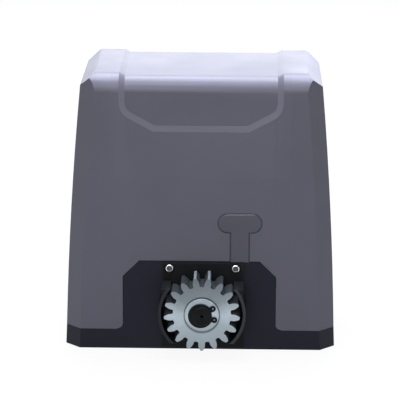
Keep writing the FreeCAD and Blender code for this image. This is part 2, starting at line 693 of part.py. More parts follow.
def cover_form(name, inset, foot):
    """Solid form of the cover, set inwards by inset: bowed sides, facets, rounded top, sunk panel."""
    body = new_body(name)
    front, rear, top = f"({FRONT} + {inset})", f"({REAR} - {inset})", f"(cover_top - {inset})"
    lean = "tan(atan(top_chamfer_width/top_chamfer_drop)/2)"
    rise = "tan(atan(top_chamfer_drop/top_chamfer_width)/2)"
    low_half, high_half = f"({BAND_HALF} - {inset})", f"(cover_top_half - {inset})"
    shoulder = f"(cover_top - top_chamfer_drop - {inset}*{lean})"
    flat_half = f"(cover_top_half - top_chamfer_width - {inset}*{rise})"
    right = [(low_half, foot, f"({low_half} + {high_half})/2 + side_bow", f"({foot} + {shoulder})/2"),
             (high_half, shoulder),
             (flat_half, top)]
    extrude(body, "XZ_Plane", [mirrored(right)], front, rear)

    edge_y = size(rear)

    def upright(edge):
        ends = [vertex.Point for vertex in edge.Vertexes]
        return all(abs(abs(p.y) - edge_y) < 0.01 for p in ends) and edge.BoundBox.ZLength > edge_y

    dress(body, "Chamfer", upright, f"corner_cut - {2 - math.sqrt(2):.4f}*{inset}")

    radius = f"(top_round - {inset})"
    bend = f"({radius}*{1 - math.sqrt(0.5):.4f})"

    def top_edge(y, inward):
        return [(f"{y} - {inward}*2", f"{top} - {radius}"),
                (y, f"{top} - {radius}", f"{y} + {inward}*{bend}", f"{top} - {bend}"),
                (f"{y} + {inward}*{radius}", top),
                (f"{y} + {inward}*{radius}", f"{top} + 2"),
                (f"{y} - {inward}*2", f"{top} + 2")]

    extrude(body, "YZ_Plane", [top_edge(front, 1), top_edge(rear, -1)], "-base_width/2", "base_width/2",
            cut=True)

    def strip(depth):
        """Space over the top, front and rear that the panel leaves free at this depth."""
        low_y, high_y, level = f"({front} + {depth})", f"({rear} - {depth})", f"({top} - {depth})"
        arc = f"({radius} - {depth})"
        turn = f"({arc}*{1 - math.sqrt(0.5):.4f})"
        return [(f"{front} - {OUTSIDE}", "recess_split"),
                (low_y, "recess_split"),
                (low_y, f"{level} - {arc}", f"{low_y} + {turn}", f"{level} - {turn}"),
                (f"{low_y} + {arc}", level),
                (f"{high_y} - {arc}", level, f"{high_y} - {turn}", f"{level} - {turn}"),
                (high_y, f"{level} - {arc}"),
                (high_y, "recess_split"),
                (f"{rear} + {OUTSIDE}", "recess_split"),
                (f"{rear} + {OUTSIDE}", f"{top} + {OUTSIDE}"),
                (f"{front} - {OUTSIDE}", f"{top} + {OUTSIDE}")]

    rim = "(recess_half + recess_slope)"
    loft(body, "YZ_Plane", [(f"-{rim}", strip("0")), ("-recess_half", strip("recess_depth")),
                            ("recess_half", strip("recess_depth")), (rim, strip("0"))], cut=True)
    for face, outward in ((front, -1), (rear, 1)):
        loft(body, "XZ_Plane", [(f"{face} - {outward}*recess_depth", panel_outline("0")),
                                (f"{face} + {outward}*recess_depth", panel_outline("(2*recess_slope)"))],
             cut=True)
    return body


def cover_screw_holes(name):
    """Drilled and spot-faced holes for the two side screws."""
    body = new_body(name)
    through, face = ([("0", COVER_SCREW_Z, radius)] for radius in ("cover_screw_radius", "cover_screw_face"))
    for inner, outer in ((f"{COVER_SCREW_SEAT} - cover_wall", "base_width/2"),
                         ("-base_width/2", f"cover_wall - {COVER_SCREW_SEAT}")):
        extrude(body, "YZ_Plane", through, inner, outer)
    for inner, outer in ((COVER_SCREW_SEAT, "base_width/2"), ("-base_width/2", f"-{COVER_SCREW_SEAT}")):
        extrude(body, "YZ_Plane", face, inner, outer)
    return body


def make_cover():
    outer = cover_form("cover_outer", "0", "band_height")
    core = cover_form("cover_core", "cover_wall", "(band_height - 2)")
    arch = new_body("cover_arch")
    extrude(arch, "XZ_Plane", [arch_outline("arch_gap", "(band_height - 5)")], f"{FRONT} - 1", f"{REAR} + 1")
    tee = new_body("cover_tee")
    extrude(tee, "XZ_Plane", [tee_outline("blank_gap", "(arch_top - 5)")], f"{FRONT} - 1",
            f"{FRONT} + 2*cover_wall")
    shell = cut("cover_shell", outer, core)
    openings = fuse("cover_openings", [arch, tee, cover_screw_holes("cover_holes")])
    node(cut("cover_cut", shell, openings), "cover")


def make_slot_blank():
    """Snap-in blank of the limit switch slot. Its front part reaches down to the guard plate."""
    body = new_body("limit_slot_blank_body")
    inner = f"({FRONT} + cover_wall)"
    foot, lip = "(arch_top + arch_gap)", "(guard_top + blank_gap/2)"
    extrude(body, "XZ_Plane", [tee_outline("0", lip)], f"{FRONT} - blank_proud", FRONT)
    front = size(f"{FRONT} - blank_proud")
    dress(body, "Chamfer", lambda edge: abs(edge.BoundBox.YMin - front) + edge.BoundBox.YLength < 0.01,
          "blank_edge")
    extrude(body, "XZ_Plane", [tee_outline("0", foot)], FRONT, inner)
    extrude(body, "XZ_Plane", [tee_outline("2", foot)], inner, f"{inner} + blank_flange")
    node(body, "limit_slot_blank")


# ---------------------------------------------------------------- the base casting
def make_base():
    """Cast base: tray, raised walls, gearbox, motor seat, release housing and floor openings."""
    body = new_body("base_housing_body")
    outline = mirrored([("base_width/2", "0"), (BAND_HALF, "band_height")])
    extrude(body, "XZ_Plane", [outline], FRONT, REAR)
    edge_y = size(REAR)
    dress(body, "Chamfer", lambda edge: edge.BoundBox.YLength < 0.01
          and abs(abs(edge.Vertexes[0].Y) - edge_y) < 0.01
          and edge.BoundBox.ZLength > 1, "corner_cut")
    extrude(body, "XY_Plane", [octagon("base_wall")], "floor_thickness", "band_height + 1", cut=True)
    gap = "(cover_wall + lip_gap)"
    extrude(body, "XY_Plane", [octagon(gap), octagon(f"({gap} + lip_thickness)")], "floor_thickness - 1",
            "band_height + lip_height")
    hole = [("0", COVER_SCREW_Z, "cover_screw_radius")]
    screw_end = f"({COVER_SCREW_SEAT} - cover_screw_length - 2)"
    extrude(body, "YZ_Plane", hole, screw_end, "base_width/2", cut=True)
    extrude(body, "YZ_Plane", hole, "-base_width/2", f"-{screw_end}", cut=True)
    for low, high in ((FRONT, f"{FRONT} + arch_wall"), (f"{REAR} - arch_wall", REAR)):
        extrude(body, "XZ_Plane", [arch_outline("0", "1")], low, high)
    gearbox_outline = rectangle("-gearbox_left", f"{FRONT} + 1", "gearbox_right", GEARBOX_REAR)
    extrude(body, "XY_Plane", [gearbox_outline], "1", "arch_top")
    seat = rectangle(f"{WORM_X} - bolt_circle_radius", f"{FRONT} + arch_wall",
                     f"{WORM_X} + bolt_circle_radius", f"{WHEEL_Y} + {BOLT_SIDE} + ear_radius")
    extrude(body, "XY_Plane", [seat], "arch_top - seat_thickness", "arch_top")
    cut_output_bores(body)
    cut_worm_bores(body)
    add_release_housing(body)
    cut_floor(body)
    node(body, "base_housing")


# Half the square on which the motor bolts stand.
BOLT_SIDE = f"({math.sqrt(0.5):.4f}*bolt_circle_radius)"


def bolt_places(x, y):
    """The motor's four bolts about a given middle."""
    return [(f"{x} + {a}*{BOLT_SIDE}", f"{y} + {b}*{BOLT_SIDE}") for a in (-1, 1) for b in (-1, 1)]


def joint_places(x, z):
    """The gearbox cover's four screws about a given middle."""
    return [(f"{x} + {a}*joint_screw_x", f"{z} + {b}*joint_screw_z") for a in (-1, 1) for b in (-1, 1)]


def cut_output_bores(body):
    """Stepped bore of the output: seal, front bearing, wheel chamber; guard and joint screws."""
    lip = "(shaft_radius + 3)"
    profile = [("0", f"{FRONT} - 2"), ("seal_radius", f"{FRONT} - 2"), ("seal_radius", SEAL_REAR),
               (lip, SEAL_REAR), (lip, BEARING_FRONT), ("front_bearing_radius", BEARING_FRONT),
               ("front_bearing_radius", BEARING_REAR), (CHAMBER_RADIUS, BEARING_REAR),
               (CHAMBER_RADIUS, f"{GEARBOX_REAR} + 2"), ("0", f"{GEARBOX_REAR} + 2")]
    revolve(body, "Y", profile, cut=True, lift="gear_z", shift="gear_x")
    guard_holes = [(x, "guard_screw_z", "guard_screw_radius") for x in guard_screw_places("gear_x")]
    extrude(body, "XZ_Plane", guard_holes, f"{FRONT} - 1", f"{FRONT} + guard_screw_length - 1", cut=True)
    joint_holes = [(x, z, "joint_screw_radius") for x, z in joint_places("gear_x", "gear_z")]
    extrude(body, "XZ_Plane", joint_holes, f"{GEARBOX_REAR} - joint_screw_grip - 1", f"{GEARBOX_REAR} + 1",
            cut=True)


def cut_worm_bores(body):
    """Vertical bore for the worm with its two bearing seats, and the motor bolts' holes."""
    relief = "(lower_seat_radius + 2)"
    profile = [("0", "worm_bore_floor"), (relief, "worm_bore_floor"), (relief, WORM_SEAT_LOW),
               ("worm_bore_radius", WORM_SEAT_LOW), ("worm_bore_radius", UPPER_SEAT_LOW),
               ("upper_bearing_radius", UPPER_SEAT_LOW), ("upper_bearing_radius", "arch_top + 1"),
               ("0", "arch_top + 1")]
    revolve(body, "Z", profile, cut=True, lift=f"-{WHEEL_Y}", shift=WORM_X)
    holes = [(x, y, "bolt_radius") for x, y in bolt_places(WORM_X, WHEEL_Y)]
    extrude(body, "XY_Plane", holes, "arch_top - bolt_grip - 1", "arch_top + 1", cut=True)


def add_release_housing(body):
    """Block behind the rear wall with the recess, pin holes, rod guide and strike of the lever."""
    block = rectangle(f"{RECESS_LEFT} - block_wall", BLOCK_FRONT, f"{RECESS_RIGHT} + block_wall",
                      f"{REAR} - 1")
    extrude(body, "XY_Plane", [block], "1", BLOCK_HIGH)
    recess = rectangle(RECESS_LEFT, RECESS_LOW, RECESS_RIGHT, RECESS_HIGH)
    extrude(body, "XZ_Plane", [recess], RECESS_FLOOR, f"{REAR} + 1", cut=True)
    guide = [("gear_x", "gear_z", "rod_radius + running_gap")]
    extrude(body, "XZ_Plane", guide, f"{BLOCK_FRONT} - 1", f"{RECESS_FLOOR} + 1", cut=True)
    pin_hole = [("gear_x", LEVER_PIN_Y, "lever_pin_radius")]
    extrude(body, "XY_Plane", pin_hole, f"{RECESS_LOW} - block_roof - 1", f"{BLOCK_HIGH} + 1", cut=True)
    strike = rectangle(f"{RECESS_RIGHT} - 1", "lever_z - 3*tongue_half", "lock_x + tongue_reach + 3",
                       "lever_z + tongue_half + 1")
    extrude(body, "XZ_Plane", [strike], f"{LEVER_FRONT} - 1.5*tongue_thickness", f"{LEVER_FRONT} + 2",
            cut=True)


def corners(x, y):
    """The four places at these distances from the middle of the base."""
    return [(f"{a}*{x}", f"{b}*{y}") for a in (-1, 1) for b in (-1, 1)]


def cut_floor(body):
    """Foundation slots, levelling screw holes and the cable entry."""
    slots = [slot_outline(x, y) for x, y in corners(SLOT_X, SLOT_Y)]
    levels = [(x, y, "level_radius") for x, y in corners(LEVEL_X, LEVEL_Y)]
    cable = [("cable_x", CABLE_Y, "cable_radius")]
    extrude(body, "XY_Plane", slots + levels + cable, "-1", "floor_thickness + 1", cut=True)


def make_floor_pieces():
    """Levelling screws and the rubber grommet of the cable entry."""
    level = new_body("levelling_screw")
    tip = "(0.4*level_radius)"
    revolve(level, "Z", [("0", "end_gap"), (f"level_radius - {tip}", "end_gap"),
                         ("level_radius", f"end_gap + {tip}"), ("level_radius", "level_length"),
                         ("0", "level_length")])
    extrude(level, "XY_Plane", [hexagon("level_radius/2")], "level_length - level_radius",
            "level_length + 1", cut=True)
    group("levelling_screws", level, [at(x, y, "0") for x, y in corners(LEVEL_X, LEVEL_Y)])
    foot, lip, top = "(end_gap + 0.2)", "(cable_radius + grommet_lip)", "(floor_thickness + 2)"
    profile = [("grommet_bore", foot), ("cable_radius", foot), ("cable_radius", "floor_thickness"),
               (lip, "floor_thickness"), (lip, top), ("grommet_bore", top)]
    turned("cable_grommet", "Z", [profile], "cable_x", CABLE_Y)


# ---------------------------------------------------------------- output: guard, pinion, shaft
def guard_screw_places(x):
    """Stations of the guard's two screws beside a given middle."""
    return [f"{x} + {side}*guard_screw_x" for side in (-1, 1)]


def make_guard():
    """Moulded guard: a plate on the raised wall and two cheeks around the pinion."""
    body = new_body("gear_guard_body", "gear_x", "0", "gear_z")
    front = f"({FRONT} - guard_plate)"
    low, high = "(guard_low - gear_z)", "(guard_top - gear_z)"
    plate = rectangle("-guard_left", low, "guard_right", high)
    extrude(body, "XZ_Plane", [plate, ("0", "0", "shaft_radius + 8")], front, FRONT)
    top, foot = "(cheek_top - gear_z)", "(cheek_low - gear_z)"
    for side, edge in ((-1, "guard_left"), (1, "guard_right")):
        def on_circle(radius, z, side=side):
            return (f"{side}*sqrt({radius}^2 - {z}^2)", z)
        shoulder = f"sqrt(guard_outer^2 - {edge}^2)"
        cheek = [on_circle("guard_inner", top) + (f"{side}*guard_inner", "0"),
                 on_circle("guard_inner", foot),
                 on_circle("guard_outer", foot) + (f"{side}*guard_outer", "0"),
                 (f"{side}*{edge}", shoulder),
                 (f"{side}*{edge}", top)]
        extrude(body, "XZ_Plane", [cheek], PINION_FRONT, f"{front} + 1")
    seats, holes = ([(x, "guard_screw_z - gear_z", radius) for x in guard_screw_places("0")]
                    for radius in ("screw_head + 1.1", "guard_screw_radius"))
    extrude(body, "XZ_Plane", seats, f"{front} - 1", f"{front} + guard_screw_sink", cut=True)
    extrude(body, "XZ_Plane", holes, front, f"{FRONT} + 1", cut=True)
    node(body, "gear_guard")


def make_guard_screws():
    source = screw("guard_screw", "Y", "guard_screw_radius", "guard_screw_length", "screw_head",
                   "2*guard_screw_radius", "0.9*guard_screw_radius")
    seat = f"{FRONT} - guard_plate + guard_screw_sink"
    places = [at(x, seat, "guard_screw_z") for x in guard_screw_places("gear_x")]
    group("guard_screws", source, places)


def make_pinion():
    """Rack pinion: involute teeth around a plain blank, one tooth pointing down."""
    body = new_body("pinion_body", "gear_x", "0", "gear_z")
    blank = [("0", "0", f"gear_module*(gear_teeth/2 - 1.25 + {ROOT_OVERLAP})")]
    extrude(body, "XZ_Plane", blank, PINION_FRONT, PINION_REAR)
    outline = tooth(size("gear_teeth"), "gear_module", 0.1, 1.25, 0.38, 180)
    one = extrude(body, "XZ_Plane", [outline], PINION_FRONT, PINION_REAR)
    around(body, one, "Y_Axis", "gear_teeth")
    extrude(body, "XZ_Plane", [("0", "0", "gear_bore_radius")], PINION_FRONT, PINION_REAR, cut=True)
    keyway = rectangle("-key_size/2", "0", "key_size/2", "gear_bore_radius + key_size/2")
    extrude(body, "XZ_Plane", [keyway], PINION_FRONT, PINION_REAR, cut=True)
    node(body, "pinion")


def make_output_shaft():
    """Stepped shaft, hollow behind the clutch's cross slot for the release rod."""
    body = new_body("output_shaft_body", "gear_x", "0", "gear_z")
    groove = "(gear_bore_radius - ring_groove)"
    collar = "(shaft_radius + 2)"
    profile = [("0", SHAFT_FRONT), ("gear_bore_radius - 1", SHAFT_FRONT),
               ("gear_bore_radius", f"{SHAFT_FRONT} + 1"), ("gear_bore_radius", RING_FRONT),
               (groove, RING_FRONT), (groove, WASHER_FRONT), ("gear_bore_radius", WASHER_FRONT),
               ("gear_bore_radius", PINION_REAR), ("shaft_radius", PINION_REAR),
               ("shaft_radius", f"{BEARING_REAR} + end_gap"), (collar, f"{BEARING_REAR} + end_gap"),
               (collar, f"{BEARING_REAR} + collar_width"), ("shaft_radius", f"{BEARING_REAR} + collar_width"),
               ("shaft_radius", DOG_FACE), ("wheel_seat_radius", DOG_FACE),
               ("wheel_seat_radius", REAR_BEARING_FRONT), ("rear_seat_radius", REAR_BEARING_FRONT),
               ("rear_seat_radius", f"{REAR_BEARING_REAR} - end_gap"),
               ("0", f"{REAR_BEARING_REAR} - end_gap")]
    revolve(body, "Y", profile)
    slot_front = f"({CLUTCH_PIN_Y} - dog_stroke - clutch_pin_radius - end_gap)"
    bore = ring("0", "rod_radius + running_gap", slot_front, REAR_BEARING_REAR)
    revolve(body, "Y", bore, cut=True)
    half = "(clutch_pin_radius + running_gap)"
    slot = rectangle("-shaft_radius - 1", slot_front, "shaft_radius + 1",
                     f"{CLUTCH_PIN_Y} + clutch_pin_radius + end_gap")
    extrude(body, "XY_Plane", [slot], f"-{half}", half, cut=True)
    centre = [("0", f"{SHAFT_FRONT} - 0.5"), ("centre_radius", f"{SHAFT_FRONT} - 0.5"),
              ("0", f"{SHAFT_FRONT} + 2*centre_radius")]
    revolve(body, "Y", centre, cut=True)
    keyway = rectangle("-key_size/2", "gear_bore_radius - key_size/2", "key_size/2", "gear_bore_radius + 1")
    extrude(body, "XZ_Plane", [keyway], f"{PINION_FRONT} + key_inset", f"{PINION_REAR} - key_inset", cut=True)
    node(body, "output_shaft")


def make_output_small():
    """Key, washer and retaining ring that hold the pinion."""
    key = box("shaft_key_box", ("gear_x - key_size/2", "gear_x + key_size/2"),
              (f"{PINION_FRONT} + key_inset", f"{PINION_REAR} - key_inset"),
              ("gear_z + gear_bore_radius - key_size/2", "gear_z + gear_bore_radius + key_size/2"))
    node(key, "shaft_key")
    washer = ring("gear_bore_radius", "washer_radius", WASHER_FRONT, PINION_FRONT)
    turned("thrust_washer", "Y", [washer], "gear_x", "0", "gear_z")

    body = new_body("retaining_ring_body", "gear_x", "0", "gear_z")
    inner = "(gear_bore_radius - ring_groove)"
    outer = f"({inner} + ring_height)"
    extrude(body, "XZ_Plane", [("0", "0", outer)], RING_FRONT, WASHER_FRONT)
    ears = [(f"{outer} + 0.2", f"{side}*ring_ear_offset", "ring_ear") for side in (-1, 1)]
    for ear in ears:
        extrude(body, "XZ_Plane", [ear], RING_FRONT, WASHER_FRONT)
    extrude(body, "XZ_Plane", [("0", "0", inner)], f"{RING_FRONT} - 1", f"{WASHER_FRONT} + 1", cut=True)
    half = "(ring_ear_offset - ring_ear)"
    mouth = rectangle("0", f"-{half}", f"{outer} + 2*ring_ear", half)
    extrude(body, "XZ_Plane", [mouth], f"{RING_FRONT} - 1", f"{WASHER_FRONT} + 1", cut=True)
    holes = [ear[:2] + ("ring_hole",) for ear in ears]
    extrude(body, "XZ_Plane", holes, f"{RING_FRONT} - 1", f"{WASHER_FRONT} + 1", cut=True)
    node(body, "retaining_ring")


def make_output_bearings():
    """Oil seal and the two bearings of the output shaft."""
    fit = "(shaft_radius + running_gap)"
    turned("oil_seal", "Y", [ring(fit, "seal_radius", FRONT, SEAL_REAR)], "gear_x", "0", "gear_z")
    turned("front_bearing", "Y", [bearing(fit, "front_bearing_radius", BEARING_FRONT, BEARING_REAR)],
           "gear_x", "0", "gear_z")
    rear = bearing("(rear_seat_radius + running_gap)", "rear_bearing_radius", REAR_BEARING_FRONT,
                   REAR_BEARING_REAR)
    turned("rear_bearing", "Y", [rear], "gear_x", "0", "gear_z")


# A bearing's races take this share of its section, and its seals are sunk this deep between them.
RACE_SHARE = 0.22
SHIELD_SINK = 0.8


def bearing(inner, outer, low, high):
    """Section of a sealed bearing: two races with the seals sunk between them."""
    race = f"({RACE_SHARE}*({outer} - {inner}))"
    low_shield, high_shield = f"{low} + {SHIELD_SINK}", f"{high} - {SHIELD_SINK}"
    return [(inner, low), (f"{inner} + {race}", low), (f"{inner} + {race}", low_shield),
            (f"{outer} - {race}", low_shield), (f"{outer} - {race}", low), (outer, low),
            (outer, high), (f"{outer} - {race}", high), (f"{outer} - {race}", high_shield),
            (f"{inner} + {race}", high_shield), (f"{inner} + {race}", high), (inner, high)]


# ---------------------------------------------------------------- worm drive and clutch
def sector(inner, outer, middle, half):
    """Ring sector about a bearing from +Z, both in degrees."""
    def on(radius, angle):
        return (f"({radius})*{math.sin(math.radians(angle)):.6f}",
                f"({radius})*{math.cos(math.radians(angle)):.6f}")
    low, high = middle - half, middle + half
    return [on(inner, low) + on(inner, middle), on(inner, high), on(outer, high) + on(outer, middle),
            on(outer, low)]


# The clutch's teeth, in degrees about the output axis from +Z.
DOG_BEARINGS = (45, 135, 225, 315)
DOG_HALF_ANGLE = 20
DOG_PLAY = 2


def make_worm_wheel():
    """Worm wheel with helical involute teeth and a slotted hub for the clutch dog."""
    body = new_body("worm_wheel_body", "gear_x", "0", "gear_z")
    count = size("wheel_teeth")
    root = f"worm_module*(wheel_teeth/2 - 1.2 + {ROOT_OVERLAP})"
    extrude(body, "XZ_Plane", [("0", "0", root)], WHEEL_FRONT, WHEEL_REAR)
    lead = size("worm_module/(2*worm_pitch_radius)")
    twist = math.degrees(lead * size("wheel_width/2") / size(WHEEL_PITCH))
    ends = ((WHEEL_FRONT, -twist), (WHEEL_REAR, twist))
    sections = [(y, tooth(count, "worm_module", size("tooth_play"), 1.2, 0.2, turn)) for y, turn in ends]
    one = loft(body, "XZ_Plane", sections)
    around(body, one, "Y_Axis", "wheel_teeth")
    extrude(body, "XZ_Plane", [("0", "0", "dog_radius")], HUB_FRONT, WHEEL_FRONT)
    extrude(body, "XZ_Plane", [("0", "0", "wheel_seat_radius + 5")], WHEEL_REAR,
            f"{REAR_BEARING_FRONT} - end_gap")
    extrude(body, "XZ_Plane", [("0", "0", "wheel_seat_radius + running_gap")], f"{HUB_FRONT} - 1",
            f"{REAR_BEARING_FRONT} + 1", cut=True)
    slots = [sector("shaft_radius + 1.5", "dog_radius + 1", middle, DOG_HALF_ANGLE + DOG_PLAY)
             for middle in DOG_BEARINGS]
    extrude(body, "XZ_Plane", slots, f"{HUB_FRONT} - 1", WHEEL_FRONT, cut=True)
    node(body, "worm_wheel")


def make_clutch():
    """Sliding dog, its cross pin through the shaft's slot, and the spring that engages it."""
    body = new_body("clutch_dog_body", "gear_x", "0", "gear_z")
    fit = "(shaft_radius + running_gap)"
    revolve(body, "Y", ring(fit, "dog_radius", DOG_FRONT, DOG_FACE))
    teeth = [sector("shaft_radius + 2", "dog_radius", middle, DOG_HALF_ANGLE) for middle in DOG_BEARINGS]
    for outline in teeth:
        extrude(body, "XZ_Plane", [outline], f"{DOG_FACE} - 0.5", f"{WHEEL_FRONT} - end_gap")
    sketch = draw(new_sketch(body, "YZ_Plane", "-dog_radius - 1"), [(CLUTCH_PIN_Y, "0", "clutch_pin_radius")])
    hole = body.newObject("PartDesign::Pocket", "Hole")
    hole.Profile = sketch
    hole.Reversed = True
    hole.setExpression("Length", bound("2*dog_radius + 2"))
    node(body, "clutch_dog")

    pin = new_body("clutch_pin_body", "gear_x", "0", "gear_z")
    extrude(pin, "YZ_Plane", [(CLUTCH_PIN_Y, "0", "clutch_pin_radius")], "end_gap - dog_radius",
            "dog_radius - end_gap")
    node(pin, "clutch_pin")

    spring = new_body("clutch_spring_body", "gear_x", f"{BEARING_REAR} + collar_width + end_gap", "gear_z")
    coil = "(shaft_radius + 1.5)"
    free = f"({DOG_FRONT} - {BEARING_REAR} - collar_width - 2*end_gap)"
    wire = rectangle(coil, "0", f"{coil} + spring_wire", "spring_wire")
    sketch = draw(new_sketch(spring, "XY_Plane"), [wire])
    helix = spring.newObject("PartDesign::AdditiveHelix", "Coil")
    helix.Profile = sketch
    helix.ReferenceAxis = (sketch, ["V_Axis"])
    helix.Mode = "height-turns-angle"
    helix.setExpression("Height", bound(f"{free} - spring_wire"))
    helix.setExpression("Turns", bound("spring_turns"))
    node(spring, "clutch_spring")


def make_worm_shaft():
    """Motor shaft with the worm cut on its lower end."""
    body = new_body("worm_shaft_body", WORM_X, WHEEL_Y)
    root = "(worm_pitch_radius - 1.2*worm_module)"
    thread_low = f"(gear_z - worm_turns*{math.pi:.6f}*worm_module/2)"
    foot, shoulder, end = f"({WORM_SEAT_LOW} + end_gap)", f"({WORM_SEAT_HIGH} + end_gap)", f"({FAN_HIGH} + 2)"
    profile = [("0", foot), ("lower_seat_radius", foot), ("lower_seat_radius", shoulder), (root, shoulder),
               (root, f"{UPPER_SEAT_LOW} - 3"), ("upper_seat_radius", f"{UPPER_SEAT_LOW} - 1"),
               ("upper_seat_radius", TAIL_SEAT_LOW), ("tail_radius", TAIL_SEAT_LOW),
               ("tail_radius", f"{BELL_TOP} - 1"), ("fan_seat_radius", f"{BELL_TOP} + 1"),
               ("fan_seat_radius", end), ("0", end)]
    revolve(body, "Z", profile)
    lead = f"{math.pi:.6f}*worm_module"
    flank = math.tan(math.radians(20))
    half = f"({math.pi / 4:.6f}*worm_module - tooth_play/2)"
    wide, slim = f"({half} + 1.3*worm_module*{flank:.6f})", f"({half} - worm_module*{flank:.6f})"
    inner, outer = f"({root} - 0.1*worm_module)", "(worm_pitch_radius + worm_module)"
    thread = [(inner, f"{thread_low} - {wide}"), (outer, f"{thread_low} - {slim}"),
              (outer, f"{thread_low} + {slim}"), (inner, f"{thread_low} + {wide}")]
    sketch = draw(new_sketch(body, "XZ_Plane"), [thread])
    helix = body.newObject("PartDesign::AdditiveHelix", "Thread")
    helix.Profile = sketch
    helix.ReferenceAxis = (sketch, ["V_Axis"])
    helix.Mode = "pitch-turns-angle"
    helix.setExpression("Pitch", bound(lead))
    helix.setExpression("Turns", bound("worm_turns"))
    node(body, "worm_shaft")


def make_worm_bearings():
    lower = bearing("(lower_seat_radius + running_gap)", "worm_bore_radius", WORM_SEAT_LOW, WORM_SEAT_HIGH)
    turned("worm_bearing_lower", "Z", [lower], WORM_X, WHEEL_Y)
    upper = bearing("(upper_seat_radius + running_gap)", "upper_bearing_radius", UPPER_SEAT_LOW,
                    UPPER_SEAT_HIGH)
    turned("worm_bearing_upper", "Z", [upper], WORM_X, WHEEL_Y)


def make_gearbox_cover():
    """Rear cover of the gearbox: flange, spigot with the bearing seat, and the rod's guide."""
    body = new_body("gearbox_cover_body", "gear_x", "0", "gear_z")
    flange = rectangle("-flange_half", "floor_thickness + end_gap - gear_z", "flange_half",
                       "arch_top - seat_thickness - end_gap - gear_z")
    face, boss = f"({GEARBOX_REAR} + flange_width)", f"({GEARBOX_REAR} + guide_boss)"
    extrude(body, "XZ_Plane", [flange], GEARBOX_REAR, face)
    spigot = f"({CHAMBER_RADIUS} - running_gap)"
    revolve(body, "Y", ring("0", spigot, REAR_BEARING_FRONT, f"{GEARBOX_REAR} + 1"))
    revolve(body, "Y", ring("0", "rod_radius + guide_wall", f"{GEARBOX_REAR} + 1", boss))
    for radius, low, high in (("rear_bearing_radius", f"{REAR_BEARING_FRONT} - 1", REAR_BEARING_REAR),
                              ("rod_radius + running_gap", REAR_BEARING_FRONT, f"{boss} + 1")):
        revolve(body, "Y", ring("0", radius, low, high), cut=True)
    holes = [(x, z, "joint_screw_radius") for x, z in joint_places("0", "0")]
    extrude(body, "XZ_Plane", holes, f"{GEARBOX_REAR} - 1", f"{face} + 1", cut=True)
    node(body, "gearbox_cover")
    source = screw("gearbox_screw", "Y", "joint_screw_radius", "flange_width + joint_screw_grip",
                   "1.7*joint_screw_radius", "2*joint_screw_radius", "0.9*joint_screw_radius")
    places = [at(x, face, z, turn=180) for x, z in joint_places("gear_x", "gear_z")]
    group("gearbox_screws", source, places)


# ---------------------------------------------------------------- motor
def motor_ears(body, low, high):
    """Four ears for the through bolts."""
    places = bolt_places("0", "0")
    for x, y in places:
        extrude(body, "XY_Plane", [(x, y, "ear_radius")], low, high)
    holes = [(x, y, "bolt_radius") for x, y in places]
    extrude(body, "XY_Plane", holes, f"{low} - 1", f"{high} + 1", cut=True)


def make_motor_bells():
    lower = new_body("motor_bell_lower_body", WORM_X, WHEEL_Y)
    rim, hole, floor = "(motor_radius - bell_wall)", "(upper_seat_radius + 3.5)", "(arch_top + bell_floor)"
    revolve(lower, "Z", [(hole, "arch_top"), ("motor_radius", "arch_top"), ("motor_radius", STACK_LOW),
                         (rim, STACK_LOW), (rim, floor), (hole, floor)])
    motor_ears(lower, "arch_top", "arch_top + ear_height")
    node(lower, "motor_bell_lower")

    upper = new_body("motor_bell_upper_body", WORM_X, WHEEL_Y)
    hole, seat, bevel = "(tail_radius + 0.5)", "(tail_bearing_radius + bell_wall)", "(bell_wall - 1)"
    roof = f"({BELL_TOP} - bell_floor)"
    revolve(upper, "Z", [(hole, BELL_TOP), (f"motor_radius - {bevel}", BELL_TOP),
                         ("motor_radius", f"{BELL_TOP} - {bevel}"), ("motor_radius", STACK_HIGH),
                         (rim, STACK_HIGH), (rim, roof), (seat, roof), (seat, TAIL_SEAT_LOW),
                         ("tail_bearing_radius", TAIL_SEAT_LOW), ("tail_bearing_radius", TAIL_SEAT_HIGH),
                         (hole, TAIL_SEAT_HIGH)])
    motor_ears(upper, EAR_LOW, EAR_HIGH)
    node(upper, "motor_bell_upper")
    tail = bearing("(tail_radius + running_gap)", "tail_bearing_radius", TAIL_SEAT_LOW, TAIL_SEAT_HIGH)
    turned("motor_bearing_upper", "Z", [tail], WORM_X, WHEEL_Y)


def make_motor_core():
    bore = "(rotor_radius + air_gap)"
    turned("stator_core", "Z", [ring(bore, "motor_radius", STACK_LOW, STACK_HIGH)], WORM_X, WHEEL_Y)
    inner, outer = f"{bore} + winding_gap", "motor_radius - bell_wall - 2"
    coils = [ring(inner, outer, f"{STACK_LOW} - winding_reach", STACK_LOW),
             ring(inner, outer, STACK_HIGH, f"{STACK_HIGH} + winding_reach")]
    turned("stator_windings", "Z", coils, WORM_X, WHEEL_Y)
    turned("rotor_core", "Z", [ring("upper_seat_radius", "rotor_radius", STACK_LOW, STACK_HIGH)], WORM_X,
           WHEEL_Y)


def make_motor_bolts():
    """Through bolts from the upper bell's ears into the motor seat."""
    source = screw("motor_bolt", "Z", "bolt_radius", f"{EAR_HIGH} - arch_top + bolt_grip",
                   "1.7*bolt_radius", "2*bolt_radius", "0.9*bolt_radius")
    group("motor_bolts", source, [at(x, y, EAR_HIGH, turn=180) for x, y in bolt_places(WORM_X, WHEEL_Y)])


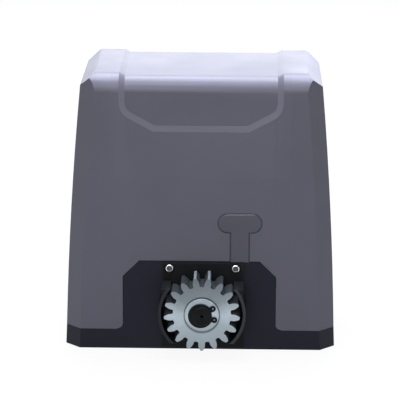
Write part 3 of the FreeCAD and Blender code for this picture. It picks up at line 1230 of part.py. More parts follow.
def make_fan():
    """Radial fan: hub, disc and straight blades."""
    body = new_body("cooling_fan_body", WORM_X, WHEEL_Y)
    disc = f"({FAN_LOW} + fan_disc)"
    revolve(body, "Z", [("fan_seat_radius", FAN_LOW), ("fan_radius", FAN_LOW), ("fan_radius", disc),
                        ("fan_hub_radius", disc), ("fan_hub_radius", FAN_HIGH),
                        ("fan_seat_radius", FAN_HIGH)])
    blade = rectangle("fan_hub_radius - 1", "-fan_blade/2", "fan_radius - 0.5", "fan_blade/2")
    one = extrude(body, "XY_Plane", [blade], f"{disc} - fan_disc/2", FAN_HIGH)
    around(body, one, "Z_Axis", "fan_blades")
    node(body, "cooling_fan")


# ---------------------------------------------------------------- release lever
# The lever swings out this far, in degrees.
RELEASE_SWING = 90


def make_release():
    """Keyed lever with a spiral cam that pushes the release rod."""
    lever = new_body("release_lever_body", "gear_x", LEVER_PIN_Y, "lever_z")

    def on_cam(swing):
        """Point of the involute that touches the rod's flat end when the lever has swung so far."""
        radius = f"(cam_radius + dog_stroke*{swing / RELEASE_SWING:.4f})"
        offset = f"dog_stroke*{1 / math.radians(RELEASE_SWING):.6f}"
        sine, cosine = math.sin(math.radians(swing)), math.cos(math.radians(swing))
        return (f"-{radius}*{sine:.6f} - {offset}*{cosine:.6f}",
                f"-{radius}*{cosine:.6f} + {offset}*{sine:.6f}")

    face = "lever_pin_inset"
    back = f"({face} - lever_plate)"
    bend = f"{math.sqrt(0.5):.6f}*cam_radius"
    steps = [on_cam(RELEASE_SWING * n / 4) for n in range(5)]
    outline = [("0", "-cam_radius"), steps[0] + steps[1], steps[2] + steps[3], steps[4],
               ("-cam_radius", "cam_radius + 1"), ("-cam_radius", face), ("lever_length", face),
               ("lever_length", back), ("cam_radius + 1", back), ("cam_radius", "0", bend, f"-{bend}")]
    extrude(lever, "XY_Plane", [outline], "-lever_height/2", "lever_height/2")
    pin_hole = [("0", "0", "lever_pin_radius + running_gap")]
    extrude(lever, "XY_Plane", pin_hole, "-lever_height/2 - 1", "lever_height/2 + 1", cut=True)
    lock_hole = [("lock_x - gear_x", "0", "lock_radius + running_gap")]
    extrude(lever, "XZ_Plane", lock_hole, f"{back} - 1", f"{face} + 1", cut=True)
    node(lever, "release_lever")
    pin = cylinder("lever_pin_cylinder", "Z", "lever_pin_radius", f"{RECESS_LOW} - block_roof", BLOCK_HIGH,
                   "gear_x", LEVER_PIN_Y)
    node(pin, "lever_pin")
    rod = cylinder("release_rod_cylinder", "Y", "rod_radius", ROD_FRONT, ROD_REAR, "gear_x", "0", "gear_z")
    node(rod, "release_rod")

    plug = new_body("lock_cylinder_body", "lock_x", "0", "lever_z")
    tongue_front = f"({LEVER_FRONT} - tongue_thickness)"
    revolve(plug, "Y", [("0", tongue_front), ("lock_neck", tongue_front), ("lock_neck", LEVER_FRONT),
                        ("lock_radius", LEVER_FRONT), ("lock_radius", REAR), ("0", REAR)])
    keyway = rectangle("-key_slot_width/2", "-key_slot_height/2", "key_slot_width/2", "key_slot_height/2")
    extrude(plug, "XZ_Plane", [keyway], f"{REAR} - key_slot_depth", f"{REAR} + 1", cut=True)
    node(plug, "lock_cylinder")
    tongue = new_body("lock_tongue_body", "lock_x", "0", "lever_z")
    outline = rectangle("-tongue_half", "-tongue_reach", "tongue_half", "tongue_half")
    extrude(tongue, "XZ_Plane", [outline, ("0", "0", "lock_neck")], tongue_front, f"{LEVER_FRONT} - end_gap")
    node(tongue, "lock_tongue")


# ---------------------------------------------------------------- electrical pieces under the cover
BOARD_RIGHT = "(board_left + board_width)"
BOARD_TOP = "(board_low + board_height)"
BOARD_BACK = f"({BOARD_Y} + post_length)"
BOARD_FACE = f"({BOARD_BACK} + board_thickness)"


def make_bracket():
    """Sheet bracket: a foot, a stem, and a panel with four posts for the board."""
    body = new_body("board_bracket_body")
    left, right = "board_left - bracket_rim", f"{BOARD_RIGHT} + bracket_rim"
    stem_left, stem_right = f"{BOARD_RIGHT} - stem_inset - bracket_stem", f"{BOARD_RIGHT} - stem_inset"
    shoulder = "board_low - bracket_rim"
    panel = [(stem_left, "floor_thickness"), (stem_right, "floor_thickness"), (stem_right, shoulder),
             (right, shoulder), (right, f"{BOARD_TOP} + bracket_rim"),
             (left, f"{BOARD_TOP} + bracket_rim"), (left, shoulder), (stem_left, shoulder)]
    extrude(body, "XZ_Plane", [panel], f"{BOARD_Y} - bracket_wall", BOARD_Y)
    foot = rectangle(stem_left, f"{BOARD_Y} - bracket_foot", stem_right, BOARD_Y)
    extrude(body, "XY_Plane", [foot], "floor_thickness", "floor_thickness + bracket_wall")
    for x in ("board_left + post_length", f"{BOARD_RIGHT} - post_length"):
        for z in ("board_low + post_length", f"{BOARD_TOP} - post_length"):
            extrude(body, "XZ_Plane", [(x, z, "post_radius")], f"{BOARD_Y} - 1", BOARD_BACK)
    node(body, "board_bracket")


def make_board():
    """Control board with its relays, terminal strip, fuse holder and smoothing capacitor."""
    board = box("control_board_box", ("board_left", BOARD_RIGHT), (BOARD_BACK, BOARD_FACE),
                ("board_low", BOARD_TOP))
    node(board, "control_board")
    relays = []
    for n in range(3):
        left = f"(board_left + part_inset + {n}*relay_pitch)"
        relays.append(box(f"relay_{n}", (left, f"{left} + relay_size + 3"),
                          (BOARD_FACE, f"{BOARD_FACE} + relay_size"),
                          (f"{BOARD_TOP} - relay_drop - relay_size", f"{BOARD_TOP} - relay_drop")))
    doc.recompute()
    item = doc.addObject("Part::Compound", "relay_group")
    item.Links = relays
    node(item, "board_relays")
    strip = new_body("terminal_strip_body")
    foot, front = "(board_low + 2)", f"({BOARD_FACE} + terminal_size)"
    profile = [(BOARD_FACE, foot), (front, foot), (front, f"{foot} + 0.55*terminal_size"),
               (f"{BOARD_FACE} + 0.6*terminal_size", f"{foot} + terminal_size"),
               (BOARD_FACE, f"{foot} + terminal_size")]
    extrude(strip, "YZ_Plane", [profile], "board_left + terminal_inset", f"{BOARD_RIGHT} - terminal_inset")
    node(strip, "terminal_strip")
    fuse_left, fuse_low = "(board_left + part_inset)", "(board_low + fuse_rise)"
    holder = box("fuse_box", (fuse_left, f"{fuse_left} + fuse_length"),
                 (BOARD_FACE, f"{BOARD_FACE} + fuse_size"), (fuse_low, f"{fuse_low} + fuse_size"))
    node(holder, "fuse_holder")
    smoothing = cylinder("smoothing_cylinder", "Y", "smoothing_radius", BOARD_FACE,
                         f"{BOARD_FACE} + smoothing_length", f"{BOARD_RIGHT} - smoothing_inset", "0",
                         f"{fuse_low} + smoothing_radius")
    node(smoothing, "smoothing_capacitor")


def make_transformer():
    """Shell core of stacked sheets and the coil on its middle limb."""
    rear = f"({BOARD_Y} - bracket_foot - core_gap - coil_wall)"
    front = f"({rear} - core_depth)"
    low, high = "floor_thickness", "(floor_thickness + core_height)"
    inner, outer = "core_limb/2", "(core_limb/2 + core_window)"
    sill, lintel = f"({low} + core_yoke)", f"({high} - core_yoke)"
    core = new_body("transformer_core_body")
    sheet_outline = rectangle(f"core_x - {outer} - core_side", low, f"core_x + {outer} + core_side", high)
    windows = [rectangle(f"core_x - {outer}", sill, f"core_x - {inner}", lintel),
               rectangle(f"core_x + {inner}", sill, f"core_x + {outer}", lintel)]
    extrude(core, "XZ_Plane", [sheet_outline] + windows, front, rear)
    node(core, "transformer_core")
    coil = new_body("transformer_coil_body")
    outside = rectangle(f"core_x - {outer}", f"{front} - coil_wall", f"core_x + {outer}",
                        f"{rear} + coil_wall")
    inside = rectangle(f"core_x - {inner}", front, f"core_x + {inner}", rear)
    extrude(coil, "XY_Plane", [outside, inside], f"{sill} + coil_gap", f"{lintel} - coil_gap")
    node(coil, "transformer_coil")


def make_capacitor_and_sensor():
    """Run capacitor on the floor and magnetic limit sensor behind the slot's blank."""
    top = "(floor_thickness + capacitor_height)"
    profile = [("0", "floor_thickness"), ("capacitor_radius - 1", "floor_thickness"),
               ("capacitor_radius", "floor_thickness + 2"), ("capacitor_radius", f"{top} - 2"),
               ("capacitor_radius - 2", top), ("0", top)]
    turned("run_capacitor", "Z", [profile], "capacitor_x", f"{REAR} - capacitor_inset")
    front = f"({FRONT} + sensor_inset)"
    sensor = box("sensor_box", ("tee_x - sensor_half", "tee_x + sensor_half"),
                 (front, f"{front} + sensor_depth"), ("arch_top", "tee_low + tee_height"))
    node(sensor, "limit_sensor")


def make_cover_screws():
    """One screw through each side of the cover into the upstand."""
    source = screw("cover_screw", "Y", "cover_screw_radius", "cover_screw_length",
                   "cover_screw_face - 0.6", "cover_screw_radius + 0.3", "cover_screw_radius - 0.1")
    places = [at(f"{side}*{COVER_SCREW_SEAT}", "0", COVER_SCREW_Z, turn=side * 90, about=(0, 0, 1))
              for side in (-1, 1)]
    group("cover_screws", source, places)


make_base()
make_cover()
make_slot_blank()
make_cover_screws()
make_floor_pieces()
make_guard()
make_guard_screws()
make_pinion()
make_output_shaft()
make_output_small()
make_output_bearings()
make_worm_wheel()
make_clutch()
make_worm_shaft()
make_worm_bearings()
make_gearbox_cover()
make_motor_bells()
make_motor_core()
make_motor_bolts()
make_fan()
make_release()
make_bracket()
make_board()
make_transformer()
make_capacitor_and_sensor()
doc.recompute()

failed = [item.Label for item in doc.Objects if {"Invalid", "Error"} & set(item.State)]
failed += [item.Label for item in nodes if item.Shape.isNull() or not item.Shape.isValid()]
if failed:
    raise RuntimeError(f"not built: {failed}")

os.makedirs("parts", exist_ok=True)
for item in nodes:
    item.Shape.exportStep(f"parts/{item.Label}.step")
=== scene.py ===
"""Dresses the sliding gate motor: finishes, finer pieces, stage, light and camera, round the frame."""
import json
import logging
import math
from dataclasses import dataclass, field, replace
from enum import Enum
from typing import Sequence

import bmesh
import bpy
from mathutils import Matrix, Vector


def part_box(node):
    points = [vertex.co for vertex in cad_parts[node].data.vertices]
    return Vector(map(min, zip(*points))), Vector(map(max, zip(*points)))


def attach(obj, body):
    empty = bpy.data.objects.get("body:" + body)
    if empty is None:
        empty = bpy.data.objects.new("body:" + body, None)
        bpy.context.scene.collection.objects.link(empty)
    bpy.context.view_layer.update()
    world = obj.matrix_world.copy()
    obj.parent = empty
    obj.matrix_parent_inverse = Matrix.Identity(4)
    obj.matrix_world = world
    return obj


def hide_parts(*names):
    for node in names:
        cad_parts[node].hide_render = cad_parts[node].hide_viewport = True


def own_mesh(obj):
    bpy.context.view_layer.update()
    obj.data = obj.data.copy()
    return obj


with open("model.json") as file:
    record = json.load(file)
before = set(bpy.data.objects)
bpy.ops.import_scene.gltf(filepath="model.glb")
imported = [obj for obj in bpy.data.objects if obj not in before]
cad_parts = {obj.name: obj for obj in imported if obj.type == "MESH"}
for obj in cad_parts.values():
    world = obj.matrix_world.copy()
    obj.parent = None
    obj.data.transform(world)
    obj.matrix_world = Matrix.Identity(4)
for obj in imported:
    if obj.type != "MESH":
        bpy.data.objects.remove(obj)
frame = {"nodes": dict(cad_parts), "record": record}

LOG = logging.getLogger("gate_motor")
MM = 0.001
ONE_POINT = 1e-6
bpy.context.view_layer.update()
UPRIGHT = (0.0, 0.0, 1.0)
ALONG_Y = (0.0, 1.0, 0.0)
Colour = tuple[float, float, float]
Point = tuple[float, float, float]
Socket = bpy.types.NodeSocket


class Body(Enum):
    """Bodies of the frame that pieces ride on."""

    HOUSING = "housing"
    OUTPUT = "output"
    LEVER = "lever"
    LOCK = "lock"


def srgb(*levels: float) -> tuple[float, ...]:
    """Gives a linear colour with alpha for red, green and blue from 0 to 255."""
    shares = [level / 255 for level in levels]
    return *(s / 12.92 if s <= 0.04045 else ((s + 0.055) / 1.055) ** 2.4 for s in shares), 1.0


def centre_of(node: str) -> Point:
    """Gives the middle of a CAD node's box."""
    low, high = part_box(node)
    return tuple((low + high) / 2)


GEAR = centre_of("thrust_washer")


# ---------------------------------------------------------------- node trees
class Wiring:
    """Adds and joins nodes in one tree."""

    def __init__(self, tree: bpy.types.NodeTree) -> None:
        """Keeps the tree that the nodes go into."""
        self.tree = tree

    def add(self, kind: str, **settings: object) -> bpy.types.Node:
        """Adds a node.

        Args:
            kind: The node's type name.
            settings: Properties of the node, by name.

        Returns:
            The new node.
        """
        made = self.tree.nodes.new(kind)
        for name, value in settings.items():
            setattr(made, name, value)
        return made

    def join(self, target: Socket, source: object) -> None:
        """Feeds a socket from another socket, or sets its value.

        Args:
            target: The input socket.
            source: An output socket, or a plain value.
        """
        if isinstance(source, Socket):
            self.tree.links.new(source, target)
        else:
            target.default_value = source

    def feed(self, node: bpy.types.Node, **inputs: object) -> bpy.types.Node:
        """Feeds several inputs of a node.

        Args:
            node: The node.
            inputs: Sockets or plain values, by the input's name with _ for a space.

        Returns:
            The node.
        """
        for label, source in inputs.items():
            self.join(node.inputs[label.replace("_", " ")], source)
        return node

    def math(self, operation: str, *values: object) -> Socket:
        """Adds a Math node.

        Args:
            operation: The node's operation.
            values: Sockets or numbers for its inputs.

        Returns:
            The result's socket.
        """
        made = self.add("ShaderNodeMath", operation=operation)
        for socket, value in zip(made.inputs, values):
            self.join(socket, value)
        return made.outputs[0]

    def vector_math(self, operation: str, *values: object) -> Socket:
        """Adds a Vector Math node.

        Args:
            operation: The node's operation.
            values: Sockets or vectors for its inputs.

        Returns:
            The result's socket: a number for a length or a dot product, a vector for the rest.
        """
        made = self.add("ShaderNodeVectorMath", operation=operation)
        for socket, value in zip(made.inputs, values):
            self.join(socket, value)
        return made.outputs["Value" if operation in ("LENGTH", "DOT_PRODUCT") else "Vector"]

    def scaled(self, vector: object, factor: object) -> Socket:
        """Scales a vector or a colour by a number.

        Args:
            vector: The vector's socket or value.
            factor: The number's socket or value.

        Returns:
            The scaled vector's socket.
        """
        made = self.add("ShaderNodeVectorMath", operation="SCALE")
        self.join(made.inputs[0], vector)
        return self.feed(made, Scale=factor).outputs["Vector"]

    def product(self, first: object, *others: object) -> Socket:
        """Multiplies numbers together.

        Args:
            first: The first socket or number.
            others: The rest.

        Returns:
            The product's socket.
        """
        for other in others:
            first = self.math("MULTIPLY", first, other)
        return first

    def clamped(self, value: Socket) -> Socket:
        """Keeps a number between 0 and 1."""
        return self.math("MAXIMUM", self.math("MINIMUM", value, 1.0), 0.0)

    def axes(self, vector: object) -> bpy.types.NodeOutputs:
        """Splits a vector into X, Y and Z."""
        return self.feed(self.add("ShaderNodeSeparateXYZ"), Vector=vector).outputs

    def normal(self) -> Socket:
        """Gives the surface's own direction."""
        return self.add("ShaderNodeNewGeometry").outputs["Normal"]

    def radial(self, place: object, centre: object) -> Socket:
        """Gives the distance from the line along Y through a centre.

        Args:
            place: Where it is read.
            centre: A point on the line.

        Returns:
            The distance's socket.
        """
        arm = self.vector_math("SUBTRACT", place, centre)
        return self.vector_math("LENGTH", self.vector_math("CROSS_PRODUCT", arm, ALONG_Y))

    def noise(self, vector: object, scale: object, detail: float = 2.0, roughness: float = 0.5) -> Socket:
        """Adds a Noise texture.

        Args:
            vector: Where it is read.
            scale: Cells per metre.
            detail: Octaves.
            roughness: Weight of the finer octaves.

        Returns:
            The factor's socket.
        """
        made = self.add("ShaderNodeTexNoise")
        return self.feed(made, Vector=vector, Scale=scale, Detail=detail, Roughness=roughness).outputs["Fac"]

    def spread(self, source: object, low: object, high: object) -> Socket:
        """Maps 0.3 to 0.7, where noise mostly lies, to a range.

        Args:
            source: The value to map.
            low: Result at the low end.
            high: Result at the high end.

        Returns:
            The mapped value's socket.
        """
        made = self.feed(self.add("ShaderNodeMapRange"), Value=source, From_Min=0.3, From_Max=0.7,
                         To_Min=low, To_Max=high)
        return made.outputs["Result"]


def new_group(
        name: str, kind: str, inputs: dict[str, object], outputs: dict[str, str]
) -> tuple[Wiring, bpy.types.NodeOutputs, bpy.types.NodeInputs]:
    """Makes a node group with named sockets.

    Args:
        name: The group's name.
        kind: Shader or Geometry.
        inputs: Socket kind, or socket kind and default value, by name.
        outputs: Socket kind, by name.

    Returns:
        The new tree's wiring, the sockets that it is given, and the sockets of its result.
    """
    tree = bpy.data.node_groups.new(name, kind + "NodeTree")
    for label, wanted in inputs.items():
        socket_kind, *value = wanted if isinstance(wanted, tuple) else (wanted,)
        socket = tree.interface.new_socket(label, in_out="INPUT", socket_type="NodeSocket" + socket_kind)
        if value:
            socket.default_value = value[0]
    for label, socket_kind in outputs.items():
        tree.interface.new_socket(label, in_out="OUTPUT", socket_type="NodeSocket" + socket_kind)
    wiring = Wiring(tree)
    given, result = wiring.add("NodeGroupInput").outputs, wiring.add("NodeGroupOutput").inputs
    return wiring, given, result


def mottle_group() -> bpy.types.NodeTree:
    """Builds the group that varies colour and roughness slowly and gives a fine grain.

    Returns:
        The group's tree.
    """
    wiring, given, result = new_group(
        "Surface variation", "Shader",
        {"Vector": "Vector", "Color": ("Color", (0.5, 0.5, 0.5, 1)), "Patch Size": ("Float", 0.03),
         "Patch Contrast": ("Float", 0.05), "Grain Size": ("Float", 0.0006), "Roughness": ("Float", 0.5),
         "Roughness Spread": ("Float", 0.05)},
        {"Color": "Color", "Roughness": "Float", "Height": "Float"})
    patches = wiring.noise(given["Vector"], wiring.math("DIVIDE", 1.0, given["Patch Size"]), detail=3.0)
    grain = wiring.noise(given["Vector"], wiring.math("DIVIDE", 1.0, given["Grain Size"]), roughness=0.6)
    level = wiring.spread(patches, wiring.math("SUBTRACT", 1.0, given["Patch Contrast"]),
                          wiring.math("ADD", 1.0, given["Patch Contrast"]))
    rough = wiring.spread(patches, wiring.math("SUBTRACT", given["Roughness"], given["Roughness Spread"]),
                          wiring.math("ADD", given["Roughness"], given["Roughness Spread"]))
    wiring.join(result["Color"], wiring.scaled(given["Color"], level))
    wiring.join(result["Roughness"], rough)
    wiring.join(result["Height"], grain)
    return wiring.tree


def turning_group() -> bpy.types.NodeTree:
    """Builds the group for a lathe's marks: fine rings about an axis along Y, as height and as sheen.

    Returns:
        The group's tree.
    """
    along_cells = 2000.0
    wiring, given, result = new_group(
        "Turning marks", "Shader",
        {"Vector": "Vector", "Centre": ("Vector", (0, 0, 0)), "Pitch": ("Float", 0.0008)},
        {"Height": "Float", "Sheen": "Float"})
    across = wiring.math("DIVIDE", wiring.radial(given["Vector"], given["Centre"]), given["Pitch"])
    along = wiring.axes(wiring.vector_math("SUBTRACT", given["Vector"], given["Centre"]))["Y"]
    place = wiring.feed(wiring.add("ShaderNodeCombineXYZ"), X=across, Y=wiring.product(along, along_cells))
    rings = wiring.noise(place.outputs["Vector"], scale=1.0, detail=3.0, roughness=0.7)
    wiring.join(result["Height"], rings)
    wiring.join(result["Sheen"], wiring.spread(rings, 0.0, 1.0))
    return wiring.tree


def band_group() -> bpy.types.NodeTree:
    """Builds the group for stacked sheets or wound wire: even bands along one direction.

    Returns:
        The group's tree.
    """
    wiring, given, result = new_group(
        "Stacked bands", "Shader",
        {"Vector": "Vector", "Direction": ("Vector", UPRIGHT), "Pitch": ("Float", 0.001)},
        {"Height": "Float", "Mask": "Float"})
    along = wiring.vector_math("DOT_PRODUCT", given["Vector"], given["Direction"])
    wave = wiring.math("SINE", wiring.product(wiring.math("DIVIDE", along, given["Pitch"]), math.tau))
    wiring.join(result["Height"], wave)
    wiring.join(result["Mask"], wiring.math("MULTIPLY_ADD", wave, 0.5, 0.5))
    return wiring.tree


class Groups:
    """Shader groups that the finishes share, each built once."""

    mottle: bpy.types.NodeTree = mottle_group()
    turning: bpy.types.NodeTree = turning_group()
    bands: bpy.types.NodeTree = band_group()


# ---------------------------------------------------------------- finishes
@dataclass(frozen=True)
class Surface:
    """A surface while its finish is built: where it is read, and its results so far."""

    wiring: Wiring
    place: Socket
    colour: Socket
    roughness: Socket
    height: Socket

    def shaded(self, level: Socket) -> "Surface":
        """Gives the same surface with its colour scaled."""
        return replace(self, colour=self.wiring.scaled(self.colour, level))


@dataclass(frozen=True)
class Finish:
    """A painted, moulded or metal surface with slow variation and a fine grain.

    Sizes are in metres and colours are display colours from 0 to 255.
    """

    name: str
    colour: Colour
    roughness: float = 0.5
    roughness_spread: float = 0.04
    metallic: float = 0.0
    coat: float = 0.0
    coat_roughness: float = 0.25
    specular: float = 0.5
    patch: float = 40 * MM
    contrast: float = 0.03
    grain: float = 0.7 * MM
    depth: float = 0.03 * MM
    strength: float = 0.3

    def build(self) -> bpy.types.Material:
        """Makes the material, with its relief fed into the shader's normal.

        Returns:
            The material.
        """
        material = bpy.data.materials.new(self.name)
        material.use_nodes = True
        wiring = Wiring(material.node_tree)
        shader = wiring.feed(material.node_tree.nodes["Principled BSDF"], Metallic=self.metallic,
                             Coat_Weight=self.coat, Coat_Roughness=self.coat_roughness,
                             Specular_IOR_Level=self.specular)
        place = wiring.add("ShaderNodeTexCoord").outputs["Object"]
        plain = wiring.feed(wiring.add("ShaderNodeGroup", node_tree=Groups.mottle), Vector=place,
                            Color=srgb(*self.colour), Patch_Size=self.patch, Patch_Contrast=self.contrast,
                            Grain_Size=self.grain, Roughness=self.roughness,
                            Roughness_Spread=self.roughness_spread).outputs
        surface = self.refine(Surface(wiring, place, plain["Color"], plain["Roughness"], plain["Height"]))
        bump = wiring.feed(wiring.add("ShaderNodeBump"), Strength=self.strength, Distance=self.depth,
                           Height=surface.height)
        wiring.feed(shader, Base_Color=surface.colour, Roughness=surface.roughness,
                    Normal=bump.outputs["Normal"])
        self.polish(surface, shader)
        return material

    def refine(self, surface: Surface) -> Surface:
        """Adds what a finish has beyond the plain surface; the plain finish adds nothing."""
        return surface

    def polish(self, surface: Surface, shader: bpy.types.Node) -> None:
        """Sets what a finish has on the shader itself; the plain finish sets nothing."""


@dataclass(frozen=True)
class Turned(Finish):
    """Metal turned on a lathe: rings about a line along Y, and a highlight drawn out across them."""

    metallic: float = 1.0
    centre: Point = GEAR
    pitch: float = 0.6 * MM
    anisotropy: float = 0.5
    ring_contrast: float = 0.06

    def refine(self, surface: Surface) -> Surface:
        """Adds the rings as tone, roughness and relief.

        Args:
            surface: The surface so far.

        Returns:
            The refined surface.
        """
        wiring = surface.wiring
        marks = wiring.feed(wiring.add("ShaderNodeGroup", node_tree=Groups.turning), Vector=surface.place,
                            Centre=self.centre, Pitch=self.pitch).outputs
        level = wiring.math("MULTIPLY_ADD", marks["Sheen"], self.ring_contrast, 1 - self.ring_contrast / 2)
        rough = wiring.math("MULTIPLY_ADD", marks["Sheen"], self.roughness_spread, surface.roughness)
        return replace(surface, roughness=rough, height=marks["Height"]).shaded(level)

    def polish(self, surface: Surface, shader: bpy.types.Node) -> None:
        """Turns the shader's highlight so that it runs across the rings.

        Args:
            surface: The finished surface.
            shader: The material's shader.
        """
        wiring = surface.wiring
        arm = wiring.vector_math("SUBTRACT", surface.place, self.centre)
        around = wiring.vector_math("CROSS_PRODUCT", ALONG_Y, arm)
        wiring.feed(shader, Anisotropic=self.anisotropy, Tangent=wiring.vector_math("NORMALIZE", around))


@dataclass(frozen=True)
class Plated(Turned):
    """Plated gear and washer: painted shade in the gap round the washer, on the upper sector and on the
    flanks, and a painted glint on the top lands.

    joint is the radius of the gap's painted shade, which grows wider below the axis. The hood and bow values
    paint shade on the upper sector and on what lies far above or below the axis. The side values belong to
    flanks.
    """

    # Painted shade in the gap round the washer: its radius, width, widening below the axis and depth.
    joint: float = 17.8 * MM
    gap_shade_width: float = 0.6 * MM
    gap_shade_growth: float = 3.5
    gap_shade_level: float = 0.15
    # Painted shade on the upper sector, and more of it far above and below the axis.
    painted_hood_shade: float = 0.38
    hood_rise: float = 1.7
    painted_bow_shade: float = 150.0
    side_metallic: float = 0.55
    side_roughness: float = 0.2
    # Painted shade on the flanks.
    side_shade: float = 0.6
    # Painted glint on the top lands: its gain, where it lies, and its spots.
    glint: float = 7.0
    glint_rise: float = 36.5 * MM
    glint_facing: float = 0.95
    glint_cells: float = 700.0
    glint_range: tuple[float, float] = (0.4, 0.5)

    def refine(self, surface: Surface) -> Surface:
        """Paints shade in the gap round the washer, on the upper sector, far above and below the axis and on
        the flanks, and paints a glint on the top lands.

        Args:
            surface: The surface so far.

        Returns:
            The refined surface.
        """
        wiring = surface.wiring
        surface = super().refine(surface)
        radius = wiring.radial(surface.place, self.centre)
        rise = self.rise(surface)
        # Painted shade in the gap round the washer, wider below the axis.
        upward = wiring.math("DIVIDE", rise, radius)
        below = wiring.math("MAXIMUM", wiring.product(upward, -1.0), 0.0)
        width = wiring.math("MULTIPLY_ADD", below, self.gap_shade_growth * self.gap_shade_width, self.gap_shade_width)
        beside = wiring.math("ABSOLUTE", wiring.math("SUBTRACT", radius, self.joint))
        clear = wiring.math("MINIMUM", wiring.math("DIVIDE", beside, width), 1.0)
        line = wiring.math("MULTIPLY_ADD", clear, 1 - self.gap_shade_level, self.gap_shade_level)
        # Painted shade on the upper sector, and growing far above and below the axis.
        hooded = wiring.product(wiring.math("MAXIMUM", upward, 0.0), self.hood_rise * self.painted_hood_shade)
        hooded = wiring.product(wiring.math("MINIMUM", hooded, self.painted_hood_shade),
                                wiring.math("GREATER_THAN", radius, self.joint))
        loss = wiring.math("MULTIPLY_ADD", wiring.product(rise, rise), self.painted_bow_shade, hooded)
        lit = wiring.math("SUBTRACT", 1.0, loss)
        # Painted glint on the top lands.
        glinting = wiring.math("MULTIPLY_ADD", self.glint_share(surface), self.glint, 1.0)
        # Painted shade on the flanks.
        side = wiring.math("MULTIPLY_ADD", self.side_share(wiring), self.side_shade - 1, 1.0)
        rough = wiring.math("MULTIPLY_ADD", self.side_share(wiring), self.side_roughness, surface.roughness)
        return replace(surface, roughness=rough).shaded(wiring.product(line, lit, glinting, side))

    def rise(self, surface: Surface) -> Socket:
        """Gives the height above the axis.

        Args:
            surface: The surface.

        Returns:
            The height's socket.
        """
        arm = surface.wiring.vector_math("SUBTRACT", surface.place, self.centre)
        return surface.wiring.vector_math("DOT_PRODUCT", arm, UPRIGHT)

    def side_share(self, wiring: Wiring) -> Socket:
        """Tells faces that run along the axis, 1, from those square to it, 0.

        Args:
            wiring: The material's wiring.

        Returns:
            The share's socket.
        """
        facing = wiring.vector_math("DOT_PRODUCT", wiring.normal(), ALONG_Y)
        return wiring.math("SUBTRACT", 1.0, wiring.math("ABSOLUTE", facing))

    def glint_share(self, surface: Surface) -> Socket:
        """Tells the uppermost lands, where a painted glint lies in spots, from the rest.

        Args:
            surface: The surface.

        Returns:
            The share's socket.
        """
        wiring = surface.wiring
        facing = wiring.vector_math("DOT_PRODUCT", wiring.normal(), UPRIGHT)
        raised = wiring.math("GREATER_THAN", facing, self.glint_facing)
        outer = wiring.math("GREATER_THAN", self.rise(surface), self.glint_rise)
        spots = wiring.spread(wiring.noise(surface.place, self.glint_cells), *self.glint_range)
        return wiring.product(raised, outer, spots)

    def polish(self, surface: Surface, shader: bpy.types.Node) -> None:
        """Dulls the flanks, and takes the metal off the lands under the painted glint.

        Args:
            surface: The finished surface.
            shader: The material's shader.
        """
        super().polish(surface, shader)
        wiring = surface.wiring
        loss = self.side_metallic - self.metallic
        metallic = wiring.math("MULTIPLY_ADD", self.side_share(wiring), loss, self.metallic)
        rest = wiring.math("SUBTRACT", 1.0, self.glint_share(surface))
        wiring.feed(shader, Metallic=wiring.product(metallic, rest))


@dataclass(frozen=True)
class Banded(Finish):
    """Stacked sheets or wound wire: bands along a direction, with darker joints."""

    direction: Point = UPRIGHT
    pitch: float = 1 * MM
    joint_shade: float = 0.35

    def refine(self, surface: Surface) -> Surface:
        """Darkens the joints between bands and raises the bands.

        Args:
            surface: The surface so far.

        Returns:
            The refined surface.
        """
        wiring = surface.wiring
        bands = wiring.feed(wiring.add("ShaderNodeGroup", node_tree=Groups.bands), Vector=surface.place,
                            Direction=self.direction, Pitch=self.pitch).outputs
        level = wiring.math("MULTIPLY_ADD", bands["Mask"], self.joint_shade, 1 - self.joint_shade)
        return replace(surface, height=bands["Height"]).shaded(level)


